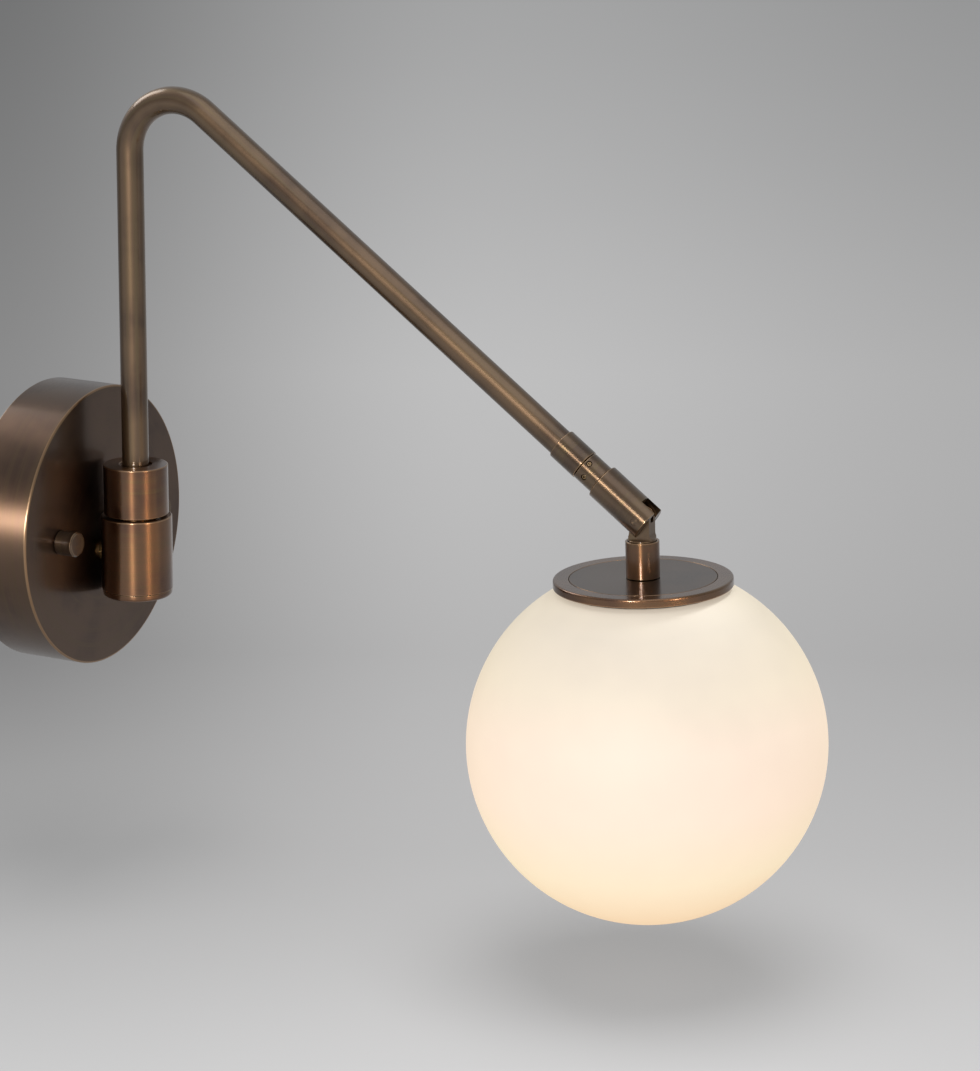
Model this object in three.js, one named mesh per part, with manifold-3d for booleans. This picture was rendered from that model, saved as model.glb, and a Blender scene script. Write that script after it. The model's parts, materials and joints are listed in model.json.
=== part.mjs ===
// Swing arm wall light: a round wall canopy, a bent arm that swings on it, and a glass globe that
// turns and tilts on a knuckle. Millimetres, +Z up, wall plane at y = 0, the arm reaches towards -Y.
import * as THREE from "three";
import { mergeVertices } from "three/addons/utils/BufferGeometryUtils.js";
import Module from "manifold-3d";

const wasm = await Module();
wasm.setup();

// Clearances
const fit = 0.3; // space between pieces that touch, or that turn in each other
const flat = 0.2; // space on each side of a washer

// Facets round a full turn
const coarse = 10;
const small = 12;
const medium = 20;
const large = 28;
const fine = 44;
const globeSides = 40;
const globeSteps = 16;
const bulbSteps = 8;

// Canopy and what fixes it to the wall
const canopyRadius = 63.5;
const canopyDepth = 31;
const canopyWall = 1.2;
const edgeBevel = 0.5;
const barEndGap = 8.3; // the crossbar's ends to the canopy's wall
const barWidth = 18;
const barThickness = 2;
const boxSlotInset = 9.55; // middle of a slot to the bar's end: 88.9 between box screws
const boxSlotLength = 8;
const boxSlotWidth = 4.8;
const studInset = 27.5; // studs to the canopy's rim: 72 between studs
const studRadius = 2;
const studTail = 0.2; // gap between a stud's end and the wall
const studNutWidth = 7;
const studNutHeight = 3.2;
const thumbNutRadius = 5.65;
const thumbNutLength = 9;
const thumbNutChamfer = 0.7;
const groundScrewInset = 16; // ground screw to the right-hand stud
const groundScrewHead = 3.6;
const groundHeadHeight = 2.4;
const groundHeadBevel = 0.6;
const driverSlotWidth = 0.9;
const driverSlotDepth = 0.8;

// Threaded hollow nipples, and the hexagon nuts on them
const nippleRadius = 5;
const nippleBore = 3.6;
const nippleNutWidth = 14;
const nippleNutHeight = 4;
const nippleTail = 6; // threads past the nut, inside the canopy
const nippleDrop = 11.8; // nipple below the canopy's centre, at the middle of the swivel base

// Swivel on the canopy
const swivelReach = 48; // wall to swivel axis
const baseRadius = 16;
const baseTop = 6.6;
const baseBottom = -30.3;
const baseWeb = 10.6;
const baseWall = 3.5;
const baseCapHeight = 3;
const baseCapRound = 1.6;
const baseCapPlug = 3; // how far its rim goes up into the base
const baseCapPlugWall = 2;
const headRadius = 14.5;
const headGap = 0.9; // dark line between the two cylinders
const headTop = 30.2;
const headRecessRadius = 7.4;
const headRecessDepth = 0.8;
const socketDepth = 15.2; // how far the arm tube goes into the head
const spindleRadius = 5;
const spindleBore = 3;
const spindleTail = 3.5;
const springRadius = 8;
const springHeight = 1;
const swingLimit = 80; // degrees each way
const stopPinRadius = 1.1;
const stopPinOrbit = 11.5;
const stopSlotDepth = 2.7;
const stopPinRoof = 2; // metal left between the pin's hole and the tube's socket
const setScrewRadius = 2;
const setScrewSocket = 1.1;

// Arm tube
const tubeRadius = 6;
const tubeWall = 1;
const cornerHeight = 218.6; // where the two straight runs would meet, above the canopy's centre
const bendRadius = 24;
const armSlope = 36; // degrees below level
const armRun = 309.5; // that corner to the knuckle's pivot
const bendSteps = 12;

// Turning joint at the end of the arm, measured up the arm from the pivot
const sleeveRadius = 6.9;
const sleeveLength = 13.7;
const sleeveWeb = 3;
const neckRadius = 6.6;
const neckLength = 9.5;
const neckWeb = 5.4;
const neckSpigot = 8;
const neckSpigotRadius = 5.9;
const neckChamber = 5;
const studShank = 3.6;
const studHead = 4.7;
const studHeadHeight = 1.6;
const shankTail = 2.6; // stud's end past the tube's, inside the tube
const cableBore = 2.3;
const grubRadius = 1;

// Knuckle
const barrelRadius = 7.9;
const barrelTop = 23;
const barrelEnd = 3.8; // past the pivot
const barrelBoreDepth = 12.4;
const tongueThickness = 6;
const eyeRadius = 4.7;
const foldToWall = 90; // degrees between the shade's axis and the barrel's
const foldOutwards = 60;
const pinRadius = 1.5;
const wireSlot = 2.8;
const flareRadius = 3;
const flareTop = 6.2; // below the pivot
const flangeRadius = 5.9;
const flangeTop = 9.2;
const flangeHeight = 2.8;
const tongueSpigot = 4.6;

// Shade
const shadeLean = 2.5; // degrees outwards at rest
const capRadius = 7.2;
const capTop = 9.6; // below the pivot
const discTop = 25.5; // below the pivot
const discRadius = 38;
const discThickness = 3.7;
const plateRadius = 31.1;
const plateThickness = 2.2;
const ledgeRadius = 27;
const gasketThickness = 0.8;
const gasketWidth = 5;
const globeRadius = 77;
const globeWall = 2.8;
const globeDrop = 72.6; // disc top to the globe's centre
const clipWidth = 6;
const clipThickness = 0.6;
const clipFoot = 8; // flat part under the plate
const clipDrop = 6.3; // from the foot down past the glass edge
const clipHook = 6.5; // part under the glass

// Lampholder and bulb
const holderRadius = 13.6;
const holderWall = 1.3;
const holderCapHeight = 9.2;
const holderShoulder = 4; // height of the cap's tapered shoulder
const holderTaper = 3.5; // how much it narrows there
const holderRoof = 3.2;
const holderLength = 28;
const insertHeight = 8;
const lampCapRadius = 6.9;
const lampCapLength = 18;
const lampCapTaper = 3; // height of the taper to the contact
const lampContact = 2.4; // contact's radius
const lampContactHeight = 1;
const lampFloor = 1; // thickness of the cap's closed end
const shellWall = 0.5;
const bulbRadius = 22.5;
const bulbWall = 0.8;
const bulbLength = 78;
const bulbNeckFlare = 4; // how much wider the neck is where it meets the round part
const bulbStem = 6; // straight top of the neck, inside the cap
const leadRadius = 0.9;
const cableRadius = 1.6;

// Places that follow from the sizes
const canopyInside = canopyRadius - canopyWall;
const barLength = 2 * (canopyInside - barEndGap);
const boxSlotAt = barLength / 2 - boxSlotInset;
const studAt = canopyRadius - studInset;
const groundScrewAt = studAt - groundScrewInset;
const headBottom = baseTop + headGap;
const holeRadius = nippleRadius + fit;
const spindleHole = spindleRadius + fit;
const webBottom = baseTop - baseWeb;
const springTop = webBottom - flat;
const spindleNutTop = springTop - springHeight - flat;
const spindleNutBottom = spindleNutTop - nippleNutHeight;
const spindleEnd = spindleNutBottom - spindleTail;
const socketFloor = headTop - socketDepth;
const tubeStart = socketFloor + fit;
const neckTop = barrelTop + fit + neckLength;
const sleeveBottom = neckTop + fit;
const sleeveTop = sleeveBottom + sleeveLength;
const tubeEnd = sleeveBottom + sleeveWeb + fit;
const shankTop = tubeEnd + shankTail;
const studFloor = neckTop - neckWeb - fit - studHeadHeight;
const plateBottom = discTop + plateThickness;
const discBottom = discTop + discThickness;
const gasketTop = discBottom + flat;
const glassTop = gasketTop + gasketThickness + flat;
const glassHeight = discTop + globeDrop - glassTop; // the globe's lip above its centre
const mouthRadius = Math.sqrt((globeRadius - globeWall) ** 2 - glassHeight ** 2);
const holderTop = plateBottom + fit + nippleNutHeight + fit;
const holderSplit = holderTop + holderCapHeight;
const shellTop = holderSplit + fit + insertHeight + fit;
const lampTip = shellTop + 1.4;
const slope = THREE.MathUtils.degToRad(armSlope);
const armTurn = Math.PI / 2 + slope;
const pivotY = -armRun * Math.cos(slope);
const pivotZ = cornerHeight - armRun * Math.sin(slope);

// Geometry to a manifold-3d solid: vertices merged, empty triangles dropped, faces turned outwards.
function solidOf(geometry) {
  const bare = geometry.index ? geometry.toNonIndexed() : geometry.clone();
  bare.deleteAttribute("normal");
  bare.deleteAttribute("uv");
  const merged = mergeVertices(bare, 1e-4);
  const index = merged.index.array;
  const corners = [];
  for (let i = 0; i < index.length; i += 3) {
    const [a, b, c] = [index[i], index[i + 1], index[i + 2]];
    if (a !== b && b !== c && c !== a) corners.push(a, b, c);
  }
  const build = (list) =>
    new wasm.Manifold(
      new wasm.Mesh({
        numProp: 3,
        vertProperties: merged.attributes.position.array,
        triVerts: new Uint32Array(list),
      }),
    );
  const solid = build(corners);
  return solid.volume() < 0 ? build(corners.reverse()) : solid;
}

function geometryOf(solid) {
  const { vertProperties, triVerts } = solid.getMesh();
  const geometry = new THREE.BufferGeometry();
  geometry.setAttribute("position", new THREE.BufferAttribute(vertProperties, 3));
  geometry.setIndex(new THREE.BufferAttribute(triVerts, 1));
  return geometry;
}

function cut(geometry, ...tools) {
  const start = solidOf(geometry);
  return geometryOf(tools.reduce((solid, tool) => solid.subtract(solidOf(tool)), start));
}

function join(geometry, ...others) {
  const start = solidOf(geometry);
  return geometryOf(others.reduce((solid, other) => solid.add(solidOf(other)), start));
}

function common(geometry, other) {
  return geometryOf(solidOf(geometry).intersect(solidOf(other)));
}

// A profile of [radius, height] pairs turned about Z.
function turned(profile, sides = medium) {
  const points = profile.map(([radius, height]) => new THREE.Vector2(radius, height));
  return new THREE.LatheGeometry(points, sides).rotateX(Math.PI / 2);
}

function rod(radius, from, to, sides = small) {
  const low = Math.min(from, to);
  const high = Math.max(from, to);
  return turned([[0, low], [radius, low], [radius, high], [0, high]], sides);
}

function ring(outer, inner, from, to, sides = medium) {
  return turned([[inner, from], [outer, from], [outer, to], [inner, to], [inner, from]], sides);
}

function block(sizeX, sizeY, sizeZ, x = 0, y = 0, z = 0) {
  return new THREE.BoxGeometry(sizeX, sizeY, sizeZ).translate(x, y, z);
}

// A flat outline in X and Y, given thickness from z = from to z = to.
function plateOf(shape, from, to, curveSegments = coarse) {
  const settings = { depth: to - from, bevelEnabled: false, curveSegments };
  return new THREE.ExtrudeGeometry(shape, settings).translate(0, 0, from);
}

function circlePath(x, y, radius) {
  return new THREE.Path().absarc(x, y, radius, 0, 2 * Math.PI, true);
}

function hexNut(acrossFlats, bore, from, to) {
  const shape = new THREE.Shape();
  const corner = acrossFlats / Math.sqrt(3);
  for (let side = 0; side < 6; side++) {
    const angle = (side * Math.PI) / 3;
    const [x, y] = [corner * Math.cos(angle), corner * Math.sin(angle)];
    if (side === 0) shape.moveTo(x, y);
    else shape.lineTo(x, y);
  }
  shape.closePath();
  shape.holes.push(circlePath(0, 0, bore));
  return plateOf(shape, from, to, small / 2);
}

// The arm's centre line from z = first, up, round the bend and down the slope to `last` short of
// the pivot. Steps follow t, so each straight run takes one step and the bend takes the rest.
class ArmPath extends THREE.Curve {
  constructor(first, last) {
    super();
    this.first = first;
    this.last = last;
    this.setback = bendRadius * Math.tan(armTurn / 2);
    this.steps = bendSteps + 2;
  }
  getUtoTmapping(u) {
    return u;
  }
  getPoint(t, target = new THREE.Vector3()) {
    const at = t * this.steps;
    const bendStart = cornerHeight - this.setback;
    if (at <= 1) return target.set(0, 0, THREE.MathUtils.lerp(this.first, bendStart, at));
    if (at <= 1 + bendSteps) {
      const angle = (armTurn * (at - 1)) / bendSteps;
      const y = bendRadius * (Math.cos(angle) - 1);
      return target.set(0, y, bendStart + bendRadius * Math.sin(angle));
    }
    const part = at - 1 - bendSteps;
    const along = THREE.MathUtils.lerp(this.setback, armRun - this.last, part);
    return target.set(0, -along * Math.cos(slope), cornerHeight - along * Math.sin(slope));
  }
}

function swept(path, steps, radius, bore = 0, sides = small + 4) {
  const shape = new THREE.Shape().absarc(0, 0, radius, 0, 2 * Math.PI);
  if (bore) shape.holes.push(circlePath(0, 0, bore));
  return new THREE.ExtrudeGeometry(shape, { steps, curveSegments: sides / 2, extrudePath: path });
}

function wire(points, radius, steps = 8) {
  const path = new THREE.CatmullRomCurve3(points.map((point) => new THREE.Vector3(...point)));
  return swept(path, steps, radius, 0, 8);
}

// Materials
const metal = (color, roughness) =>
  new THREE.MeshStandardMaterial({ color, roughness, metalness: 1 });
const plastic = (color, roughness) => new THREE.MeshStandardMaterial({ color, roughness });
const agedBrass = () => metal(0x6b5438, 0.42);
const plainBrass = () => metal(0xb08d4a, 0.35);
const steel = () => metal(0x9a9a98, 0.4);
const opalGlass = () =>
  new THREE.MeshStandardMaterial({ color: 0xfff0dc, roughness: 0.35, transparent: true, opacity: 0.9 });

function addPart(group, name, geometry, material) {
  const mesh = new THREE.Mesh(geometryOf(solidOf(geometry)).toNonIndexed(), material);
  mesh.geometry.computeVertexNormals();
  mesh.name = name;
  group.add(mesh);
}

// In the wall group Z points out of the wall and Y points up.
const light = new THREE.Group();
const wall = new THREE.Group();
wall.rotation.x = Math.PI / 2;
const swivel = new THREE.Group();
swivel.position.set(0, -swivelReach, 0);
const armEnd = new THREE.Group(); // Z runs back up the arm from the pivot
armEnd.position.set(0, pivotY, pivotZ);
armEnd.rotation.x = slope - Math.PI / 2;
const shade = new THREE.Group(); // Z runs up the shade's axis from the pivot
shade.position.copy(armEnd.position);
shade.rotation.x = -THREE.MathUtils.degToRad(shadeLean);
swivel.add(armEnd, shade);
light.add(wall, swivel);

function canopy() {
  const inner = canopyInside;
  const front = canopyDepth;
  const shell = turned(
    [
      [0, front - canopyWall],
      [inner, front - canopyWall],
      [inner, 0],
      [canopyRadius, 0],
      [canopyRadius, front - edgeBevel],
      [canopyRadius - edgeBevel, front],
      [0, front],
    ],
    fine,
  );
  const hole = (radius, x, y, sides) =>
    rod(radius, front - 2 * canopyWall, front + canopyWall, sides).translate(x, y, 0);
  return cut(
    shell,
    hole(holeRadius, 0, -nippleDrop, medium),
    hole(studRadius + fit, -studAt, 0, small),
    hole(studRadius + fit, studAt, 0, small),
  );
}

function slotPath(centre, length, width) {
  const end = (length - width) / 2;
  const path = new THREE.Path();
  path.absarc(centre + end, 0, width / 2, -Math.PI / 2, Math.PI / 2);
  path.absarc(centre - end, 0, width / 2, Math.PI / 2, (3 * Math.PI) / 2);
  return path;
}

function crossbar() {
  const half = (barLength - barWidth) / 2;
  const shape = new THREE.Shape();
  shape.absarc(half, 0, barWidth / 2, -Math.PI / 2, Math.PI / 2);
  shape.absarc(-half, 0, barWidth / 2, Math.PI / 2, (3 * Math.PI) / 2);
  shape.holes.push(circlePath(0, 0, holeRadius));
  shape.holes.push(circlePath(groundScrewAt, 0, studRadius));
  for (const side of [-1, 1]) {
    shape.holes.push(circlePath(side * studAt, 0, studRadius + fit));
    shape.holes.push(slotPath(side * boxSlotAt, boxSlotLength, boxSlotWidth));
  }
  return plateOf(shape, 0, barThickness, small / 2 + 2);
}

function thumbNut() {
  const start = canopyDepth + fit;
  const end = start + thumbNutLength;
  const knob = turned([
    [0, start],
    [thumbNutRadius, start],
    [thumbNutRadius, end - thumbNutChamfer],
    [thumbNutRadius - thumbNutChamfer, end],
    [0, end],
  ]);
  return cut(knob, rod(studRadius + fit, start - fit, end - canopyWall - fit));
}

function groundScrew() {
  const seat = barThickness + fit;
  const top = seat + groundHeadHeight;
  const screw = turned(
    [
      [0, flat],
      [studRadius - fit, flat],
      [studRadius - fit, seat],
      [groundScrewHead, seat],
      [groundScrewHead, top - groundHeadBevel],
      [groundScrewHead - groundHeadBevel, top],
      [0, top],
    ],
    small,
  );
  const driverSlot = block(3 * groundScrewHead, driverSlotWidth, 2 * driverSlotDepth, 0, 0, top);
  return cut(screw, driverSlot);
}

function addWallParts() {
  const front = canopyDepth - canopyWall;
  const studTop = canopyDepth + thumbNutLength - 2 * canopyWall - fit;
  addPart(wall, "canopy", canopy(), agedBrass());
  addPart(wall, "crossbar", crossbar(), steel());
  for (const [side, hand] of [[-1, "left"], [1, "right"]]) {
    const place = (geometry) => geometry.translate(side * studAt, 0, 0);
    const nutTop = barThickness + fit + studNutHeight;
    const stud = rod(studRadius, studTail, studTop, coarse);
    const nut = hexNut(studNutWidth, studRadius + fit, barThickness + fit, nutTop);
    addPart(wall, `canopy_stud_${hand}`, place(stud), steel());
    addPart(wall, `stud_nut_${hand}`, place(nut), steel());
    addPart(wall, `thumb_nut_${hand}`, place(thumbNut()), agedBrass());
  }
  const screw = groundScrew().translate(groundScrewAt, 0, 0);
  addPart(wall, "ground_screw", screw, metal(0x3f8a4d, 0.4));
  const nutBack = front - fit - nippleNutHeight;
  const nippleBack = nutBack - nippleTail;
  const lower = (geometry) => geometry.translate(0, -nippleDrop, 0);
  const nipple = ring(nippleRadius, nippleBore, nippleBack, swivelReach - baseRadius + baseWall - fit);
  addPart(wall, "canopy_nipple", lower(nipple), plainBrass());
  const nut = hexNut(nippleNutWidth, holeRadius, nutBack, front - fit);
  addPart(wall, "nipple_locknut", lower(nut), plainBrass());
  addLeads(nippleBack);
}

// The supply cable from the spindle through the nipple, and the three leads that end at the wall.
function addLeads(nippleBack) {
  const black = plastic(0x1c1c1c, 0.5);
  const cableEnd = nippleBack - 3;
  const bendLow = spindleEnd - 5.5;
  const cable = wire(
    [[0, spindleEnd - 1, swivelReach], [0, bendLow, swivelReach - 1.5], [0, bendLow, swivelReach - 6],
      [0, -nippleDrop - 1.2, swivelReach - 10], [0, -nippleDrop, swivelReach - baseRadius + 1],
      [0, -nippleDrop, nippleBack + 2], [0, -nippleDrop, cableEnd]],
    cableRadius,
    coarse,
  );
  addPart(wall, "canopy_cable", cable, black);
  const leadStart = cableEnd - leadRadius - fit;
  const ends = [["lead_live", -8, 0x5b3a1e], ["lead_neutral", 0, 0x3c6ea8]];
  for (const [name, x, color] of ends) {
    const drop = -nippleDrop - 1;
    const points = [[x / 4, drop, leadStart], [x / 2, drop - 5, cableEnd - 4], [x, drop - 9, 8],
      [x, drop - 10, 1]];
    addPart(wall, name, wire(points, leadRadius), plastic(color, 0.5));
  }
  const screwTop = barThickness + fit + groundHeadHeight;
  const earth = [[2, 1.4 - nippleDrop, leadStart], [8, 4 - nippleDrop, cableEnd - 5],
    [groundScrewAt - 1, -3, 9], [groundScrewAt, 0, screwTop + leadRadius]];
  addPart(wall, "lead_earth", wire(earth, leadRadius), plastic(0x4f8f3a, 0.5));
}

// The arc that the stop pin runs in, swingLimit each way from straight out.
function stopSlot() {
  const reach = THREE.MathUtils.degToRad(swingLimit) + (stopPinRadius + fit) / stopPinOrbit;
  const [from, to] = [-Math.PI / 2 - reach, -Math.PI / 2 + reach];
  const shape = new THREE.Shape();
  shape.absarc(0, 0, stopPinOrbit + stopPinRadius + fit, from, to);
  shape.absarc(0, 0, stopPinOrbit - stopPinRadius - fit, to, from, true);
  return plateOf(shape, baseTop - stopSlotDepth, baseTop + 1);
}

function swivelBase() {
  const bottom = baseBottom + baseCapHeight + flat;
  const chamber = baseRadius - baseWall;
  const body = turned(
    [
      [chamber, bottom],
      [baseRadius, bottom],
      [baseRadius, baseTop - edgeBevel],
      [baseRadius - edgeBevel, baseTop],
      [spindleHole, baseTop],
      [spindleHole, webBottom],
      [chamber, webBottom],
      [chamber, bottom],
    ],
    large,
  );
  const entry = rod(holeRadius, -2 * baseRadius, -chamber + 2, medium).rotateX(Math.PI / 2);
  return cut(body, entry.translate(0, 0, -nippleDrop), stopSlot());
}

function swivelBaseCap() {
  const side = baseRadius - fit;
  const plug = baseRadius - baseWall - fit;
  const hollow = plug - baseCapPlugWall;
  const top = baseBottom + baseCapHeight;
  const rounded = [0, 30, 60, 90].map((degrees) => {
    const angle = THREE.MathUtils.degToRad(degrees);
    const radius = side - baseCapRound * (1 - Math.sin(angle));
    return [radius, baseBottom + baseCapRound * (1 - Math.cos(angle))];
  });
  return turned(
    [
      [0, baseBottom],
      ...rounded,
      [side, top],
      [plug, top],
      [plug, top + baseCapPlug],
      [hollow, top + baseCapPlug],
      [hollow, top],
      [0, top],
    ],
    large,
  );
}

function swivelHead() {
  const bore = tubeRadius + fit;
  const body = turned(
    [
      [spindleHole, headBottom],
      [headRadius - edgeBevel, headBottom],
      [headRadius, headBottom + edgeBevel],
      [headRadius, headTop - edgeBevel],
      [headRadius - edgeBevel, headTop],
      [headRecessRadius, headTop],
      [headRecessRadius, headTop - headRecessDepth],
      [bore, headTop - headRecessDepth],
      [bore, socketFloor],
      [spindleHole, socketFloor],
      [spindleHole, headBottom],
    ],
    large,
  );
  const pinTop = socketFloor - stopPinRoof;
  const pinHole = rod(stopPinRadius + fit, headBottom - 1, pinTop, coarse);
  const screwHole = rod(setScrewRadius + fit, -headRadius - 1, -tubeRadius).rotateX(Math.PI / 2);
  return cut(
    body,
    pinHole.translate(0, -stopPinOrbit, 0),
    screwHole.translate(0, 0, socketFloor + socketDepth / 2),
  );
}

function setScrew() {
  const outerEnd = -headRadius + 2 * fit;
  const screw = rod(setScrewRadius, outerEnd, -tubeRadius - fit, coarse);
  const socket = rod(setScrewSocket, -headRadius, outerEnd + setScrewRadius, 6);
  return cut(screw, socket).rotateX(Math.PI / 2);
}

function addSwivelParts() {
  addPart(swivel, "swivel_base", swivelBase(), agedBrass());
  addPart(swivel, "swivel_base_cap", swivelBaseCap(), agedBrass());
  const spindle = ring(spindleRadius, spindleBore, spindleEnd, socketFloor - fit);
  addPart(swivel, "spindle", spindle, plainBrass());
  const nut = hexNut(nippleNutWidth, spindleHole, spindleNutBottom, spindleNutTop);
  addPart(swivel, "spindle_nut", nut, plainBrass());
  const spring = ring(springRadius, spindleHole, springTop - springHeight, springTop);
  addPart(swivel, "spring_washer", spring, steel());
  const insideStopPin = stopPinOrbit - stopPinRadius - 2 * fit;
  const friction = ring(insideStopPin, spindleHole, baseTop + flat, headBottom - flat);
  addPart(swivel, "friction_washer", friction, plastic(0x222222, 0.7));
  const pinTop = socketFloor - stopPinRoof - fit;
  const pin = rod(stopPinRadius, baseTop - stopSlotDepth + fit, pinTop, coarse);
  addPart(swivel, "swing_stop_pin", pin.translate(0, -stopPinOrbit, 0), steel());
  addPart(swivel, "swivel_head", swivelHead(), agedBrass());
  const screw = setScrew().translate(0, 0, socketFloor + socketDepth / 2);
  addPart(swivel, "tube_set_screw", screw, steel());
}

function addArmParts() {
  const steps = bendSteps + 2;
  const tube = swept(new ArmPath(tubeStart, tubeEnd), steps, tubeRadius, tubeRadius - tubeWall);
  addPart(swivel, "arm_tube", tube, agedBrass());
  const cable = swept(new ArmPath(spindleEnd, studFloor), steps, cableRadius, 0, 8);
  addPart(swivel, "arm_cable", cable, plastic(0x1c1c1c, 0.5));
}

function armSleeve() {
  const bore = tubeRadius + fit;
  const shank = studShank + fit;
  const web = sleeveBottom + sleeveWeb;
  return turned([
    [shank, sleeveBottom],
    [sleeveRadius, sleeveBottom],
    [sleeveRadius, sleeveTop],
    [bore, sleeveTop],
    [bore, web],
    [shank, web],
    [shank, sleeveBottom],
  ]);
}

function swivelStud() {
  const headTopAt = studFloor + studHeadHeight;
  return turned([
    [cableBore, studFloor],
    [studHead, studFloor],
    [studHead, headTopAt],
    [studShank, headTopAt],
    [studShank, shankTop],
    [cableBore, shankTop],
    [cableBore, studFloor],
  ]);
}

// Two small screws in the neck's web bear on the stud; angles are round the arm from +X.
const grubScrews = [
  { angle: -138, up: 30.8 },
  { angle: 168, up: 28.9 },
];

function grubAt(geometry, { angle, up }) {
  return geometry
    .rotateY(Math.PI / 2)
    .rotateZ(THREE.MathUtils.degToRad(angle))
    .translate(0, 0, up);
}

function swivelNeck() {
  const spigotEnd = barrelTop - neckSpigot;
  const webEnd = neckTop - neckWeb;
  const shank = studShank + fit;
  const body = turned([
    [neckChamber, spigotEnd],
    [neckSpigotRadius, spigotEnd],
    [neckSpigotRadius, barrelTop + fit],
    [neckRadius, barrelTop + fit],
    [neckRadius, neckTop - fit],
    [neckRadius - fit, neckTop],
    [shank, neckTop],
    [shank, webEnd],
    [neckChamber, webEnd],
    [neckChamber, spigotEnd],
  ]);
  const holes = grubScrews.map((screw) =>
    grubAt(rod(grubRadius + fit, shank - 1, neckRadius + 1, 8), screw),
  );
  return cut(body, ...holes);
}

function grubScrew(screw) {
  const body = rod(grubRadius, studShank + 2 * fit, neckRadius - fit, 8);
  const socket = rod(grubRadius / 2, neckRadius - 1, neckRadius + 1, 6);
  return grubAt(cut(body, socket), screw);
}

// Half the tongue's width at a distance from the pivot along it, with its flare.
function tongueSide(along) {
  const intoFlare = Math.min(Math.max(along - flareTop, 0), flareRadius);
  return eyeRadius + flareRadius - Math.sqrt(flareRadius ** 2 - intoFlare ** 2);
}

// How far above the pivot the barrel's slot reaches, for the tongue's side to clear it at a fold.
function slotTop(foldDegrees) {
  const fold = THREE.MathUtils.degToRad(foldDegrees);
  const step = fit / 3;
  let top = 0;
  for (let along = 0; along <= barrelRadius + flareRadius; along += step) {
    const side = tongueSide(along) + fit;
    const out = along * Math.sin(fold) + side * Math.cos(fold);
    const pastEye = Math.hypot(along, side) > eyeRadius + 2 * fit;
    if (pastEye && out < barrelRadius + step) {
      top = Math.max(top, side * Math.sin(fold) - along * Math.cos(fold));
    }
  }
  return top;
}

// A square-ended barrel. Its slot opens further on the lower side, so the shade folds further there.
function knuckleBarrel() {
  const body = turned(
    [
      [0, -barrelEnd],
      [barrelRadius, -barrelEnd],
      [barrelRadius, barrelTop - fit],
      [barrelRadius - fit, barrelTop],
      [0, barrelTop],
    ],
    large,
  );
  const slotWidth = tongueThickness + 2 * fit;
  const across = 2 * barrelRadius;
  const below = barrelEnd + 1;
  const slotPart = (side, top) =>
    block(slotWidth, across, top + below, 0, (side * across) / 2, (top - below) / 2);
  const lower = slotPart(1, slotTop(foldToWall));
  const upper = slotPart(-1, slotTop(foldOutwards));
  const eye = rod(eyeRadius + 2 * fit, -slotWidth / 2, slotWidth / 2, medium).rotateY(Math.PI / 2);
  const bore = rod(neckSpigotRadius + fit, barrelTop - barrelBoreDepth, barrelTop + 1, medium);
  const passage = rod(cableBore + fit, 0, barrelTop - barrelBoreDepth + 1);
  const pinHole = rod(pinRadius + flat, -across, across).rotateY(Math.PI / 2);
  return cut(body, lower, upper, eye, bore, passage, pinHole);
}

function addArmEndParts() {
  addPart(armEnd, "arm_sleeve", armSleeve(), agedBrass());
  addPart(armEnd, "swivel_stud", swivelStud(), plainBrass());
  addPart(armEnd, "swivel_neck", swivelNeck(), agedBrass());
  grubScrews.forEach((screw, number) => {
    addPart(armEnd, `grub_screw_${number + 1}`, grubScrew(screw), steel());
  });
  addPart(armEnd, "knuckle_barrel", knuckleBarrel(), agedBrass());
  for (const [side, hand] of [[-1, "left"], [1, "right"]]) {
    const pin = rod(pinRadius, wireSlot / 2 + fit, barrelRadius - fit).rotateY((side * Math.PI) / 2);
    addPart(armEnd, `pivot_pin_${hand}`, pin, agedBrass());
  }
  const cable = rod(cableRadius, eyeRadius + 3 * fit, studFloor - fit, 8);
  addPart(armEnd, "knuckle_cable", cable, plastic(0x1c1c1c, 0.5));
}

// The flat eye of the knuckle, seen along X, with a flare down to its round flange.
function tongueEye() {
  const flare = flareRadius;
  const shape = new THREE.Shape();
  shape.absarc(0, 0, eyeRadius, 0, Math.PI);
  shape.lineTo(-eyeRadius, -flareTop);
  shape.absarc(-eyeRadius - flare, -flareTop, flare, 0, -Math.PI / 2, true);
  shape.lineTo(eyeRadius + flare, -flareTop - flare);
  shape.absarc(eyeRadius + flare, -flareTop, flare, -Math.PI / 2, -Math.PI, true);
  shape.closePath();
  const half = tongueThickness / 2;
  return plateOf(shape, -half, half, 10).rotateX(Math.PI / 2).rotateZ(Math.PI / 2);
}

function knuckleTongue() {
  const bottom = flangeTop + flangeHeight;
  const eye = common(tongueEye(), rod(flangeRadius, -flangeTop, eyeRadius + 1, medium));
  const flange = rod(flangeRadius, -bottom, -flangeTop + 0.1, medium);
  const spigot = rod(nippleRadius - fit, -bottom - tongueSpigot, -bottom + 0.1, medium);
  const wireWay = block(wireSlot, 4 * eyeRadius, eyeRadius + 4, 0, 0, (eyeRadius + 1) / 2);
  const pinHole = rod(pinRadius + flat, -2 * eyeRadius, 2 * eyeRadius).rotateY(Math.PI / 2);
  const bore = rod(wireSlot / 2, -bottom - tongueSpigot - 1, 0, coarse);
  return cut(join(eye, flange, spigot), wireWay, pinHole, bore);
}

function shadeCap() {
  const seat = flangeTop + flangeHeight + fit;
  const low = -discTop + fit;
  return turned([
    [holeRadius, low],
    [capRadius, low],
    [capRadius, -capTop - fit],
    [capRadius - fit, -capTop],
    [flangeRadius + fit, -capTop],
    [flangeRadius + fit, -seat],
    [holeRadius, -seat],
    [holeRadius, low],
  ]);
}

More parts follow.
